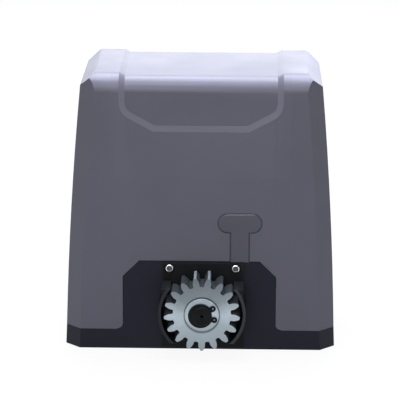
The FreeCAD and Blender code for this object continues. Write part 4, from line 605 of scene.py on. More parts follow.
@dataclass(frozen=True)
class Stepped(Finish):
    """Moulded plastic with painted light on the step round its sunk panel and on its crown.

    The panel lies within panel_half of the middle and above panel_low. Above crown_low, light is painted on
    what slopes up, on the edge over the front and on the top towards its front, by the slope, crest and front
    values, less on what faces left.
    """

    panel_half: float = 90 * MM
    panel_low: float = 180 * MM
    painted_step_light: float = 1.4
    crown_low: float = 245 * MM
    painted_slope_light: float = 0.85
    painted_crest_light: float = 0.7
    crest_rise: float = 12.0
    crest_power: float = 8.0
    painted_front_light: float = 0.22
    top_half: float = 57 * MM
    left_fade: float = 1.4
    slant_fade: float = 3.0

    def refine(self, surface: Surface) -> Surface:
        """Paints light on the step's sideways slopes and on the crown.

        Args:
            surface: The surface so far.

        Returns:
            The refined surface.
        """
        wiring = surface.wiring
        where, slope = wiring.axes(surface.place), wiring.axes(wiring.normal())
        slant = wiring.math("ABSOLUTE", slope["X"])
        up = wiring.clamped(slope["Z"])
        steep = wiring.math("SUBTRACT", 1.0, up)
        within = wiring.math("LESS_THAN", wiring.math("ABSOLUTE", where["X"]), self.panel_half)
        above = wiring.math("GREATER_THAN", where["Z"], self.panel_low)
        # Painted light on the sideways slopes of the step round the sunk panel.
        step = wiring.product(within, above, slant, steep)
        # Painted light on the crown: on what slopes up, on the edge over the front and on the top towards the
        # front, less where it faces left.
        to_right = wiring.clamped(wiring.math("MULTIPLY_ADD", slope["X"], self.left_fade, 1.0))
        sloping = wiring.product(up, up, steep, to_right)
        ahead = wiring.clamped(wiring.product(where["Y"], -1 / self.top_half))
        rounded = wiring.math("MINIMUM", wiring.product(steep, self.crest_rise), 1.0)
        edge = wiring.math("MULTIPLY_ADD", ahead, self.painted_front_light, wiring.product(rounded, self.painted_crest_light))
        edge = wiring.product(edge, wiring.math("POWER", up, self.crest_power), to_right)
        most_sloping = 4 / 27
        painted_crown_light = wiring.math("MULTIPLY_ADD", sloping, self.painted_slope_light / most_sloping, edge)
        on_step = wiring.math("MINIMUM", wiring.product(slant, self.slant_fade, within), 1.0)
        crowned = wiring.math("GREATER_THAN", where["Z"], self.crown_low)
        painted_crown_light = wiring.product(painted_crown_light, wiring.math("SUBTRACT", 1.0, on_step), crowned)
        level = wiring.math("MULTIPLY_ADD", step, self.painted_step_light, wiring.math("ADD", painted_crown_light, 1.0))
        return surface.shaded(level)


@dataclass(frozen=True)
class PaintedRimLight(Finish):
    """Moulded plastic with painted light on its ledges, and on the rims in front of a plane near a middle."""

    middle: Point = GEAR
    plane: float = 0.0
    reach: float = 44.2 * MM
    # Painted light on the rims, its lean to the right, and painted light on the ledges.
    painted_rim_light: float = 6.5
    rim_light_lean: float = 8.0
    painted_ledge_light: float = 2.6
    ledge_facing: float = 0.7

    def refine(self, surface: Surface) -> Surface:
        """Paints light on the rims, more to the right, and on the ledges.

        Args:
            surface: The surface so far.

        Returns:
            The refined surface.
        """
        wiring = surface.wiring
        where = wiring.axes(surface.place)
        # Painted light on the rims in front of the plane, more to the right.
        near = wiring.math("LESS_THAN", wiring.radial(surface.place, self.middle), self.reach)
        aside = wiring.math("SUBTRACT", where["X"], self.middle[0])
        rim = wiring.product(near, wiring.math("LESS_THAN", where["Y"], self.plane),
                             wiring.math("MULTIPLY_ADD", aside, self.rim_light_lean, 1.0))
        # Painted light on the ledges that face up.
        facing = wiring.vector_math("DOT_PRODUCT", wiring.normal(), UPRIGHT)
        ledge = wiring.math("GREATER_THAN", facing, self.ledge_facing)
        level = wiring.math("MULTIPLY_ADD", ledge, self.painted_ledge_light, 1.0)
        return surface.shaded(wiring.math("MULTIPLY_ADD", rim, self.painted_rim_light, level))


@dataclass(frozen=True)
class Socketed(Finish):
    """Screw steel with painted shade inside the sockets of two screws beside a middle."""

    middle: Point = (0.0, 0.0, 0.0)
    apart: float = 30 * MM
    reach: float = 2.8 * MM
    shade: float = 0.12

    def refine(self, surface: Surface) -> Surface:
        """Paints shade inside the sockets.

        Args:
            surface: The surface so far.

        Returns:
            The refined surface.
        """
        wiring = surface.wiring
        # Painted shade inside the sockets.
        arm = wiring.vector_math("SUBTRACT", surface.place, self.middle)
        away = wiring.radial(wiring.vector_math("ABSOLUTE", arm), (self.apart, 0.0, 0.0))
        outside = wiring.math("GREATER_THAN", away, self.reach)
        return surface.shaded(wiring.math("MULTIPLY_ADD", outside, 1 - self.shade, self.shade))


FINISHES = {
    # The cover's finish paints light on its step and its crown.
    "cover_plastic": Stepped("cover ABS", (88, 87, 99), roughness=0.4, specular=0.22, contrast=0.025,
                             patch=50 * MM, depth=0.04 * MM),
    "blank_plastic": Finish("slot blank ABS", (77, 76, 88), roughness=0.42, specular=0.25, contrast=0.025),
    "base_cast": Finish("base powder coat", (22, 22, 36), roughness=0.45, specular=0.16, grain=1.1 * MM,
                        depth=0.06 * MM, strength=0.4),
    # The guard's finish paints light on its rims and ledges.
    "guard_plastic": PaintedRimLight("guard polyamide", (11, 12, 14), roughness=0.48, specular=0.13, grain=0.9 * MM,
                            depth=0.04 * MM, plane=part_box("gear_guard")[0].y + 0.6 * MM),
    # The zinc finish paints shade round the washer, on the upper sector and flanks, and a glint on the top
    # lands.
    "zinc_steel": Plated("zinc plate", (158, 170, 178), roughness=0.3, roughness_spread=0.05,
                         pitch=0.5 * MM, anisotropy=0.7, contrast=0.05, patch=12 * MM, depth=0.01 * MM),
    "black_steel": Turned("blackened steel", (11, 13, 15), roughness=0.42, metallic=0.25, specular=0.14,
                          contrast=0.1, patch=10 * MM, depth=0.02 * MM),
    "bright_steel": Turned("ground steel", (214, 216, 218), roughness=0.2, depth=0.008 * MM, anisotropy=0.3),
    "bronze": Turned("wheel bronze", (196, 148, 84), roughness=0.3, depth=0.01 * MM),
    "seal_rubber": Finish("nitrile rubber", (22, 22, 23), roughness=0.7, grain=0.5 * MM, depth=0.04 * MM),
    "cast_alloy": Finish("cast alloy", (176, 179, 182), metallic=1.0, roughness=0.45, grain=1.2 * MM,
                         depth=0.12 * MM, strength=0.5),
    "lamination": Banded("motor laminations", (96, 97, 101), metallic=0.8, roughness=0.4, depth=0.1 * MM,
                         strength=0.6),
    "copper_winding": Banded("enamelled copper", (176, 92, 44), metallic=0.7, roughness=0.3, pitch=0.9 * MM,
                             depth=0.2 * MM, strength=0.8),
    "black_plastic": Finish("black plastic", (26, 26, 28), roughness=0.45),
    "board_laminate": Finish("board lacquer", (20, 84, 44), roughness=0.3, coat=0.4, patch=3 * MM,
                             contrast=0.25, grain=0.4 * MM),
    "green_plastic": Finish("terminal plastic", (42, 132, 66), roughness=0.45),
    "relay_plastic": Finish("relay case", (34, 62, 132), roughness=0.3, coat=0.3),
    "capacitor_case": Finish("capacitor case", (216, 216, 210), roughness=0.35),
    "lock_metal": Turned("lock chrome", (222, 222, 222), roughness=0.12, roughness_spread=0.03,
                         centre=centre_of("lock_cylinder"), depth=0.005 * MM, anisotropy=0.2),
}


# ---------------------------------------------------------------- meshes
def link(name: str, data: bpy.types.ID) -> bpy.types.Object:
    """Puts a mesh, a lamp or a camera into the scene as an object at the origin.

    Args:
        name: The object's name.
        data: The mesh, lamp or camera.

    Returns:
        The object.
    """
    made = bpy.data.objects.new(name, data)
    bpy.context.scene.collection.objects.link(made)
    return made


def smooth(mesh: bpy.types.Mesh, angle: float) -> None:
    """Shades a mesh smooth, with sharp edges past an angle in degrees."""
    mesh.polygons.foreach_set("use_smooth", [True] * len(mesh.polygons))
    mesh.set_sharp_from_angle(angle=math.radians(angle))


def mesh_from(name: str, points: Sequence[Sequence[float]], faces: Sequence[Sequence[int]]) -> bpy.types.Mesh:
    """Makes a mesh with its doubles merged and its faces outwards.

    Args:
        name: The mesh's name.
        points: Its points, in metres.
        faces: Its faces, as indices of points.

    Returns:
        The mesh.
    """
    mesh = bpy.data.meshes.new(name)
    mesh.from_pydata(points, [], faces)
    work = bmesh.new()
    work.from_mesh(mesh)
    bmesh.ops.remove_doubles(work, verts=work.verts, dist=ONE_POINT)
    bmesh.ops.recalc_face_normals(work, faces=work.faces)
    work.to_mesh(mesh)
    work.free()
    return mesh


def welded(node: str) -> bpy.types.Mesh:
    """Copies a CAD node's mesh, joins its triangles and melts those that lie in one plane.

    Args:
        node: The CAD node.

    Returns:
        The new mesh.
    """
    one_plane = math.radians(0.4)
    mesh = frame["nodes"][node].data.copy()
    mesh.materials.clear()
    work = bmesh.new()
    work.from_mesh(mesh)
    bmesh.ops.remove_doubles(work, verts=work.verts, dist=2 * ONE_POINT)
    bmesh.ops.dissolve_limit(work, angle_limit=one_plane, verts=work.verts, edges=work.edges)
    work.to_mesh(mesh)
    work.free()
    return mesh


def plate(name: str, loops: Sequence[Sequence[tuple[float, float]]], thickness: float) -> bpy.types.Mesh:
    """Cuts a flat plate in the XZ plane, from y = 0 to its thickness.

    Args:
        name: The mesh's name.
        loops: Its outline, then the outlines of its holes, as X and Z.
        thickness: Its thickness.

    Returns:
        The closed mesh.
    """
    work = bmesh.new()
    for loop in loops:
        points = [work.verts.new((x, 0, z)) for x, z in loop]
        for before, after in zip(points, points[1:] + points[:1]):
            work.edges.new((before, after))
    bmesh.ops.triangle_fill(work, use_beauty=True, use_dissolve=False, edges=work.edges)
    raised = bmesh.ops.extrude_face_region(work, geom=list(work.faces))["geom"]
    bmesh.ops.translate(work, verts=[item for item in raised if isinstance(item, bmesh.types.BMVert)],
                        vec=(0, thickness, 0))
    bmesh.ops.recalc_face_normals(work, faces=work.faces)
    mesh = bpy.data.meshes.new(name)
    work.to_mesh(mesh)
    work.free()
    return mesh


def circle(x: float, z: float, radius: float, count: int) -> list[tuple[float, float]]:
    """Gives the points of a circle in the XZ plane."""
    turns = [math.tau * n / count for n in range(count)]
    return [(x + radius * math.cos(turn), z + radius * math.sin(turn)) for turn in turns]


def lathe(name: str, stations: Sequence[tuple[float, float, float]], segments: int) -> bpy.types.Mesh:
    """Turns a profile about Y; a station may be six-sided instead of round.

    Args:
        name: The mesh's name.
        stations: Place along Y, radius, and share from 0, round, to 1, hexagon, for each ring.
        segments: Points round the axis, a multiple of six.

    Returns:
        The mesh, closed where the first or last radius is 0.
    """
    points, faces = [], []
    for along, radius, six in stations:
        for n in range(segments):
            angle = math.tau * n / segments
            inside = (angle + math.pi / 6) % (math.pi / 3) - math.pi / 6
            reach = radius * (1 - six + six * math.cos(math.pi / 6) / math.cos(inside))
            points.append((reach * math.sin(angle), along, reach * math.cos(angle)))
    for row in range(len(stations) - 1):
        for n in range(segments):
            after = (n + 1) % segments
            a, b = row * segments, (row + 1) * segments
            faces.append((a + n, a + after, b + after, b + n))
    return mesh_from(name, points, faces)


# ---------------------------------------------------------------- geometry trees for what repeats
def new_tree(name: str, **inputs: object) -> tuple[Wiring, bpy.types.NodeOutputs, bpy.types.NodeInputs]:
    """Starts a geometry tree that also takes the distance to weld over and the finish.

    Args:
        name: The tree's name.
        inputs: Socket kind, or socket kind and default value, by name.

    Returns:
        The wiring, the sockets that it is given, and the sockets of its result.
    """
    always = {"Geometry": "Geometry", "Weld": ("Float", ONE_POINT), "Finish": "Material"}
    return new_group(name, "Geometry", {**always, **inputs}, {"Geometry": "Geometry"})


def copies_on(wiring: Wiring, points: Socket, given: bpy.types.NodeOutputs, **inputs: object) -> Socket:
    """Sets a copy of the given part on each point.

    Args:
        wiring: The tree's wiring.
        points: The points.
        given: Sockets of the group's input node.
        inputs: More inputs of the node that sets the copies.

    Returns:
        The copies' socket.
    """
    part = wiring.feed(wiring.add("GeometryNodeObjectInfo"), Object=given["Part"]).outputs["Geometry"]
    copies = wiring.add("GeometryNodeInstanceOnPoints")
    return wiring.feed(copies, Points=points, Instance=part, **inputs).outputs["Instances"]


def finish_tree(wiring: Wiring, made: Socket, given: bpy.types.NodeOutputs,
                result: bpy.types.NodeInputs) -> bpy.types.NodeTree:
    """Ends a geometry tree: instances made real, doubles welded, material set.

    Args:
        wiring: The tree's wiring.
        made: The geometry so far.
        given: Sockets of the group's input node.
        result: Sockets of the group's output node.

    Returns:
        The finished tree.
    """
    real = wiring.feed(wiring.add("GeometryNodeRealizeInstances"), Geometry=made)
    weld = wiring.feed(wiring.add("GeometryNodeMergeByDistance"), Geometry=real.outputs["Geometry"],
                       Distance=given["Weld"])
    coloured = wiring.feed(wiring.add("GeometryNodeSetMaterial"), Geometry=weld.outputs["Geometry"],
                           Material=given["Finish"])
    wiring.join(result["Geometry"], coloured.outputs["Geometry"])
    return wiring.tree


def polar_tree() -> bpy.types.NodeTree:
    """Builds the tree that sets copies of a part round an axis along Y.

    Returns:
        The tree, with inputs Part, Count, Centre, Weld and Finish.
    """
    wiring, given, result = new_tree("Round an axis", Part="Object", Count=("Int", 6), Centre="Vector")
    line = wiring.feed(wiring.add("GeometryNodeMeshLine", mode="OFFSET"), Count=given["Count"],
                       Start_Location=given["Centre"], Offset=(0, 0, 0))
    step = wiring.math("DIVIDE", math.tau, given["Count"])
    angle = wiring.product(wiring.add("GeometryNodeInputIndex").outputs[0], step)
    turn = wiring.feed(wiring.add("ShaderNodeCombineXYZ"), Y=angle).outputs["Vector"]
    copies = copies_on(wiring, line.outputs["Mesh"], given, Rotation=turn)
    return finish_tree(wiring, copies, given, result)


def row_tree() -> bpy.types.NodeTree:
    """Builds the tree that sets copies of a part in a straight row.

    Returns:
        The tree, with inputs Part, First, Step, Count, Weld and Finish.
    """
    wiring, given, result = new_tree("In a row", Part="Object", First="Vector", Step="Vector",
                                     Count=("Int", 2))
    line = wiring.feed(wiring.add("GeometryNodeMeshLine", mode="OFFSET"), Count=given["Count"],
                       Start_Location=given["First"], Offset=given["Step"])
    return finish_tree(wiring, copies_on(wiring, line.outputs["Mesh"], given), given, result)


def coil_tree() -> bpy.types.NodeTree:
    """Builds the tree that winds a wire round an axis along Y.

    Returns:
        The tree, with inputs Turns, Radius, Height, Wire, Start, Weld and Finish.
    """
    wiring, given, result = new_tree(
        "Wound coil", Turns=("Float", 2.0), Radius=("Float", 0.01), Height=("Float", 0.01),
        Wire=("Float", 0.001), Start="Vector")
    helix = wiring.feed(wiring.add("GeometryNodeCurveSpiral"), Resolution=48, Rotations=given["Turns"],
                        Start_Radius=given["Radius"], End_Radius=given["Radius"], Height=given["Height"])
    section = wiring.feed(wiring.add("GeometryNodeCurvePrimitiveCircle"), Resolution=12, Radius=given["Wire"])
    wire = wiring.feed(wiring.add("GeometryNodeCurveToMesh"), Curve=helix.outputs["Curve"],
                       Profile_Curve=section.outputs["Curve"], Fill_Caps=True)
    laid = wiring.feed(wiring.add("GeometryNodeTransform"), Geometry=wire.outputs["Mesh"],
                       Translation=given["Start"], Rotation=(-math.pi / 2, 0, 0))
    return finish_tree(wiring, laid.outputs["Geometry"], given, result)


class Trees:
    """Geometry trees that the sub-assemblies share, each built once."""

    polar: bpy.types.NodeTree = polar_tree()
    row: bpy.types.NodeTree = row_tree()
    coil: bpy.types.NodeTree = coil_tree()


def settle(piece: bpy.types.Object) -> None:
    """Turns a piece's modifiers into its plain mesh.

    Args:
        piece: The piece.
    """
    bpy.context.view_layer.update()
    shape = piece.evaluated_get(bpy.context.evaluated_depsgraph_get())
    mesh = bpy.data.meshes.new_from_object(shape)
    piece.modifiers.clear()
    piece.data = mesh


def grown(name: str, tree: bpy.types.NodeTree, part: bpy.types.Mesh | None,
          **inputs: object) -> bpy.types.Object:
    """Runs a geometry tree and keeps its result as a plain mesh.

    Args:
        name: The new piece's name.
        tree: The geometry tree.
        part: The mesh that is repeated, if the tree repeats one.
        inputs: The tree's other inputs, by name.

    Returns:
        The piece, with no modifier left on it.
    """
    piece = link(name, bpy.data.meshes.new(name))
    source = link(name + "_source", part) if part else None
    modifier = piece.modifiers.new("Tree", "NODES")
    modifier.node_group = tree
    keys = {item.name: item.identifier for item in tree.interface.items_tree
            if item.item_type == "SOCKET" and item.in_out == "INPUT"}
    if source:
        modifier[keys["Part"]] = source
    for label, value in inputs.items():
        modifier[keys[label]] = value
    settle(piece)
    if source:
        bpy.data.objects.remove(source)
    return piece


def soften(piece: bpy.types.Object, width: float, segments: int = 2, angle: float = 30.0) -> None:
    """Rounds a piece's edges.

    Args:
        piece: The piece.
        width: Width of the rounding, in metres.
        segments: Faces across it.
        angle: Edges below this angle in degrees stay as they are.
    """
    bevel = piece.modifiers.new("Edges", "BEVEL")
    bevel.width = width
    bevel.segments = segments
    bevel.limit_method = "ANGLE"
    bevel.angle_limit = math.radians(angle)
    bevel.use_clamp_overlap = True
    bevel.harden_normals = True
    smooth(piece.data, angle)


# ---------------------------------------------------------------- sub-assemblies
@dataclass
class Workshop:
    """Finishes every piece, and keeps the materials by the record's slot."""

    materials: dict[str, bpy.types.Material] = field(default_factory=dict)
    slots: dict[str, str] = field(default_factory=dict)

    def __post_init__(self) -> None:
        """Builds the materials and reads the slot of each CAD node."""
        self.materials = {slot: finish.build() for slot, finish in FINISHES.items()}
        self.slots = {row["node"]: row["material_slot"] for row in frame["record"]["subparts"]}

    def paint_nodes(self) -> None:
        """Gives every CAD node the material of its slot."""
        for name, item in frame["nodes"].items():
            if not item.material_slots:
                item.data.materials.append(None)
            for place in item.material_slots:
                place.material = self.materials[self.slots[name]]
            LOG.info("finished %s as %s", name, self.slots[name])

    def fit(self, piece: bpy.types.Object, node: str, body: Body) -> None:
        """Sets a finished piece in place of a CAD node.

        Args:
            piece: The piece, at rest in the row frame.
            node: The CAD node that it stands for.
            body: The body that it rides on.
        """
        slot = self.slots[node]
        if not piece.data.materials:
            piece.data.materials.append(self.materials[slot])
        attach(piece, body.value)
        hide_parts(node)
        LOG.info("fitted %s for %s on %s", piece.name, node, body.value)

    def rounded(self, node: str, name: str, body: Body, width: float, segments: int = 2,
                angle: float = 30.0) -> None:
        """Replaces a CAD node by the same form with rounded edges.

        Args:
            node: The CAD node.
            name: The new piece's name.
            body: The body that it rides on.
            width: Width of the rounding, in metres.
            segments: Faces across the rounding.
            angle: Edges below this angle in degrees stay as they are.
        """
        piece = link(name, welded(node))
        soften(piece, width, segments, angle)
        self.fit(piece, node, body)


@dataclass
class Enclosure:
    """Moulded cover, cast base and the slot's blank."""

    shop: Workshop
    cover_round: float = 1.0 * MM
    base_round: float = 0.8 * MM
    blank_round: float = 0.4 * MM

    def build(self) -> None:
        """Dresses the outer shell."""
        self.shop.rounded("cover", "cover_moulding", Body.HOUSING, self.cover_round, segments=3, angle=24)
        self.shop.rounded("base_housing", "base_casting", Body.HOUSING, self.base_round)
        self.shop.rounded("limit_slot_blank", "slot_blank_moulding", Body.HOUSING, self.blank_round)


@dataclass
class PinionDrive:
    """Guard, pinion with its washer, ring and shaft, at the front."""

    shop: Workshop
    teeth: int = 17
    module: float = 4 * MM
    pressure: float = math.radians(20)
    backlash: float = 0.1 * MM
    root_play: float = 1.25
    root_fillet: float = 0.38
    bore: float = 10 * MM
    flank_steps: int = 7
    fillet_steps: int = 4
    tooth_edge: float = 0.35 * MM
    washer_chamfer: float = 0.6 * MM
    washer_edge: float = 0.3 * MM
    ring_bore: float = 9.4 * MM
    ring_radius: float = 12.5 * MM
    ring_shift: float = 1.3 * MM
    ring_turn: float = math.radians(8)
    ring_steps: int = 120
    ring_edge: float = 0.12 * MM
    ear: float = 3.0 * MM
    ear_reach: float = 11.9 * MM
    ear_offset: float = 5.9 * MM
    ear_hole: float = 0.9 * MM
    guard_round: float = 0.5 * MM
    shaft_round: float = 0.25 * MM
    sharp: float = 40.0
    rim_points: int = 72
    hole_points: int = 16

    def outline(self) -> list[tuple[float, float]]:
        """Works out half a tooth and half a gap, from the middle of the tooth.

        Returns:
            Radius and angle of each point, from the tip's middle to the gap's middle.
        """
        pitch = self.module * self.teeth / 2
        base, tip = pitch * math.cos(self.pressure), pitch + self.module
        root = pitch - self.root_play * self.module
        fillet = self.root_fillet * self.module

        def roll(radius: float) -> float:
            """Gives the involute's own turn at a radius."""
            angle = math.acos(min(1.0, base / radius))
            return math.tan(angle) - angle

        half = math.pi / (2 * self.teeth) - self.backlash / pitch / 2 + roll(pitch)
        gap = math.pi / self.teeth
        points = [(tip, 0.0), (tip, (half - roll(tip)) / 2)]
        for n in range(self.flank_steps + 1):
            radius = tip + (base - tip) * n / self.flank_steps
            points.append((radius, half - roll(radius)))
        centre_radius = root + fillet
        turn = half + math.asin(fillet / centre_radius)
        for n in range(self.fillet_steps + 1):
            swing = math.pi / 2 * n / self.fillet_steps
            x = centre_radius - fillet * math.sin(swing)
            y = -fillet * math.cos(swing)
            points.append((math.hypot(x, y), turn + math.atan2(y, x)))
        return points + [(root, (turn + gap) / 2), (root, gap)]

    def tooth_mesh(self, width: float) -> bpy.types.Mesh:
        """Builds one tooth with its share of the blank, pointing down.

        Args:
            width: Width of the pinion.

        Returns:
            The mesh about the origin, open where the next tooth joins.
        """
        half = self.outline()
        full = [(r, -a) for r, a in reversed(half[1:])] + half
        loop = full + [(self.bore, angle) for _, angle in full]
        points = [(radius * math.sin(angle), depth, -radius * math.cos(angle))
                  for depth in (0.0, width) for radius, angle in loop]
        count = len(full)
        rear = 2 * count
        faces = []
        for n in range(count - 1):
            faces.append((n, n + 1, count + n + 1, count + n))
            faces.append((rear + n + 1, rear + n, rear + count + n, rear + count + n + 1))
            faces.append((n + 1, n, rear + n, rear + n + 1))
            faces.append((count + n, count + n + 1, rear + count + n + 1, rear + count + n))
        return mesh_from("tooth", points, faces)

    def pinion(self) -> None:
        """Repeats the tooth round the shaft and softens the edges."""
        low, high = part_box("pinion")
        piece = grown("pinion_gear", Trees.polar, self.tooth_mesh(high.y - low.y), Count=self.teeth,
                      Centre=(GEAR[0], low.y, GEAR[2]), Weld=2 * ONE_POINT,
                      Finish=self.shop.materials["zinc_steel"])
        soften(piece, self.tooth_edge, angle=self.sharp)
        self.shop.fit(piece, "pinion", Body.OUTPUT)

    def washer(self) -> None:
        """Turns the thrust washer with its chamfered rim."""
        low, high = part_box("thrust_washer")
        rim, thick = (high.x - low.x) / 2, high.y - low.y
        stations = [(0, self.bore), (0, rim - self.washer_chamfer), (self.washer_chamfer, rim),
                    (thick - self.washer_edge, rim), (thick, rim - self.washer_edge), (thick, self.bore),
                    (0, self.bore)]
        mesh = lathe("washer", [(y, r, 0.0) for y, r in stations], self.rim_points)
        mesh.transform(Matrix.Translation((GEAR[0], low.y, GEAR[2])))
        smooth(mesh, angle=30)
        self.shop.fit(link("thrust_washer_turned", mesh), "thrust_washer", Body.OUTPUT)

    def circlip(self) -> None:
        """Cuts the retaining ring from sheet: deepest opposite its ears, each ear with its hole."""
        low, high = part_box("retaining_ring")
        ear_away = math.hypot(self.ear_reach, self.ear_offset)
        ear_turn = math.atan2(self.ear_offset, self.ear_reach)
        ear_half = math.asin(self.ear / ear_away)
        start = ear_turn - ear_half
        turns = [start + (math.tau - 2 * start) * n / self.ring_steps for n in range(self.ring_steps + 1)]
        outer = []
        for turn in turns:
            across = self.ring_shift * math.sin(turn)
            reach = -self.ring_shift * math.cos(turn) + math.sqrt(self.ring_radius ** 2 - across ** 2)
            swing = min(abs(turn - middle) for middle in (ear_turn, math.tau - ear_turn))
            if swing <= ear_half:
                chord = math.sqrt(max(0.0, self.ear ** 2 - (ear_away * math.sin(swing)) ** 2))
                reach = max(reach, ear_away * math.cos(swing) + chord)
            outer.append((reach * math.cos(turn), reach * math.sin(turn)))
        inner = [(self.ring_bore * math.cos(turn), self.ring_bore * math.sin(turn))
                 for turn in reversed(turns)]
        holes = [circle(self.ear_reach, side * self.ear_offset, self.ear_hole, self.hole_points)
                 for side in (-1, 1)]
        mesh = plate("circlip", [outer + inner] + holes, high.y - low.y)
        turned = Matrix.Rotation(-self.ring_turn, 4, "Y")
        mesh.transform(Matrix.Translation((GEAR[0], low.y, GEAR[2])) @ turned)
        piece = link("circlip_steel", mesh)
        soften(piece, self.ring_edge, angle=self.sharp)
        self.shop.fit(piece, "retaining_ring", Body.OUTPUT)

    def build(self) -> None:
        """Dresses the front's working parts."""
        self.shop.rounded("gear_guard", "guard_moulding", Body.HOUSING, self.guard_round)
        self.pinion()
        self.washer()
        self.circlip()
        self.shop.rounded("output_shaft", "output_shaft_turned", Body.OUTPUT, self.shaft_round)


@dataclass
class Fasteners:
    """The guard's two socket head screws, set by a tree from the box of their CAD node."""

    shop: Workshop
    shank: float = 2.5 * MM
    head_height: float = 2.6 * MM
    head_share: float = 0.93
    seat: float = 5 * MM
    socket: float = 2.6 * MM
    edge_share: float = 0.22
    depth_share: float = 0.7
    sides: int = 36

    def screw_mesh(self, length: float, head: float) -> bpy.types.Mesh:
        """Builds a socket head cap screw whose head faces -Y and whose shank runs along +Y.

        Args:
            length: Shank's length.
            head: Head's radius.

        Returns:
            The mesh, with the seat of the head at the origin.
        """
        height, shank, socket = self.head_height, self.shank, self.socket
        edge, deep = self.edge_share * head, self.depth_share * height
        recess = [(deep, 0.0, 1.0), (0.9 * deep, 0.9 * socket, 1.0), (0.12 * deep, socket, 1.0),
                  (0.0, 1.1 * socket, 0.6), (0.0, head - edge, 0.0), (0.35 * edge, head - 0.3 * edge, 0.0),
                  (edge, head, 0.0)]
        stations = [(along - height, radius, six) for along, radius, six in recess]
        stations += [(-0.3 * edge, head, 0.0), (0, head - 0.3 * edge, 0.0), (0, shank, 0.0),
                     (length - 0.4 * shank, shank, 0.0), (length, 0.6 * shank, 0.0), (length, 0.0, 0.0)]
        mesh = lathe("socket_screw", stations, self.sides)
        smooth(mesh, angle=35)
        return mesh

    def build(self) -> None:
        """Sets the two screws, with painted shade inside their sockets."""
        low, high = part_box("guard_screws")
        head = (high.z - low.z) / 2
        apart = high.x - low.x - 2 * head
        steel = Socketed("screw steel", (214, 216, 218), metallic=1.0, roughness=0.25, depth=0.008 * MM,
                         middle=centre_of("guard_screws"), apart=apart / 2)
        screw = self.screw_mesh(high.y - low.y - self.seat, self.head_share * head)
        piece = grown("guard_screws_set", Trees.row, screw, Count=2, Step=(apart, 0.0, 0.0),
                      First=(low.x + head, low.y + self.seat, low.z + head), Finish=steel.build())
        self.shop.fit(piece, "guard_screws", Body.HOUSING)


@dataclass
class ReleaseGear:
    """Keyed release lever and its lock at the rear."""

    shop: Workshop
    lever_round: float = 0.8 * MM
    lock_round: float = 0.3 * MM

    def build(self) -> None:
        """Dresses the lever and the lock."""
        self.shop.rounded("release_lever", "release_lever_moulding", Body.LEVER, self.lever_round)
        self.shop.rounded("lock_cylinder", "lock_barrel", Body.LOCK, self.lock_round)


@dataclass
class Clutch:
    """Spring that presses the dog clutch into the worm wheel."""

    shop: Workshop
    turns: float = 2.5
    wire: float = 0.6 * MM
    play: float = 0.1 * MM
    pressed: float = 0.45

    def build(self) -> None:
        """Winds the spring."""
        low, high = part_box("clutch_spring")
        radius = (high.z - low.z) / 2 - self.wire - 2 * self.play
        height = high.y - low.y - 2 * self.wire - 2 * self.play
        piece = grown("clutch_spring_coil", Trees.coil, None, Turns=self.turns, Radius=radius, Height=height,
                      Wire=self.wire, Start=(GEAR[0], low.y + self.wire + self.play, GEAR[2]),
                      Finish=self.shop.materials["bright_steel"])
        smooth(piece.data, angle=60)
        self.shop.fit(piece, "clutch_spring", Body.OUTPUT)
        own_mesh(piece)


# ---------------------------------------------------------------- stage
@dataclass(frozen=True)
class Lamp:
    """A soft rectangular lamp, in metres and watts."""

    name: str
    place: Point
    target: Point
    size: tuple[float, float]
    power: float
    tint: Colour = (1.0, 1.0, 1.0)

    def hang(self) -> None:
        """Hangs the lamp and points it at its target."""
        data = bpy.data.lights.new(self.name, "AREA")
        data.color = self.tint
        data.shape = "RECTANGLE"
        data.size, data.size_y = self.size
        data.energy = self.power
        made = link(self.name, data)
        made.location = self.place
        toward = Vector(self.target) - Vector(self.place)
        made.rotation_euler = toward.to_track_quat("-Z", "Y").to_euler()
        made.visible_camera = False


COOL = (0.99, 1.03, 1.14)
LAMPS = (Lamp("overhead", (0.0, 0.42, 1.65), (0.0, 0.42, 0.0), (1.0, 1.5), 62, COOL),
         Lamp("back", (0.0, 1.9, 0.85), (0.0, 0.0, 0.28), (2.4, 0.9), 19, COOL),
         Lamp("front", (-0.2, -1.9, 0.9), (0.0, 0.0, 0.15), (1.2, 1.2), 20))


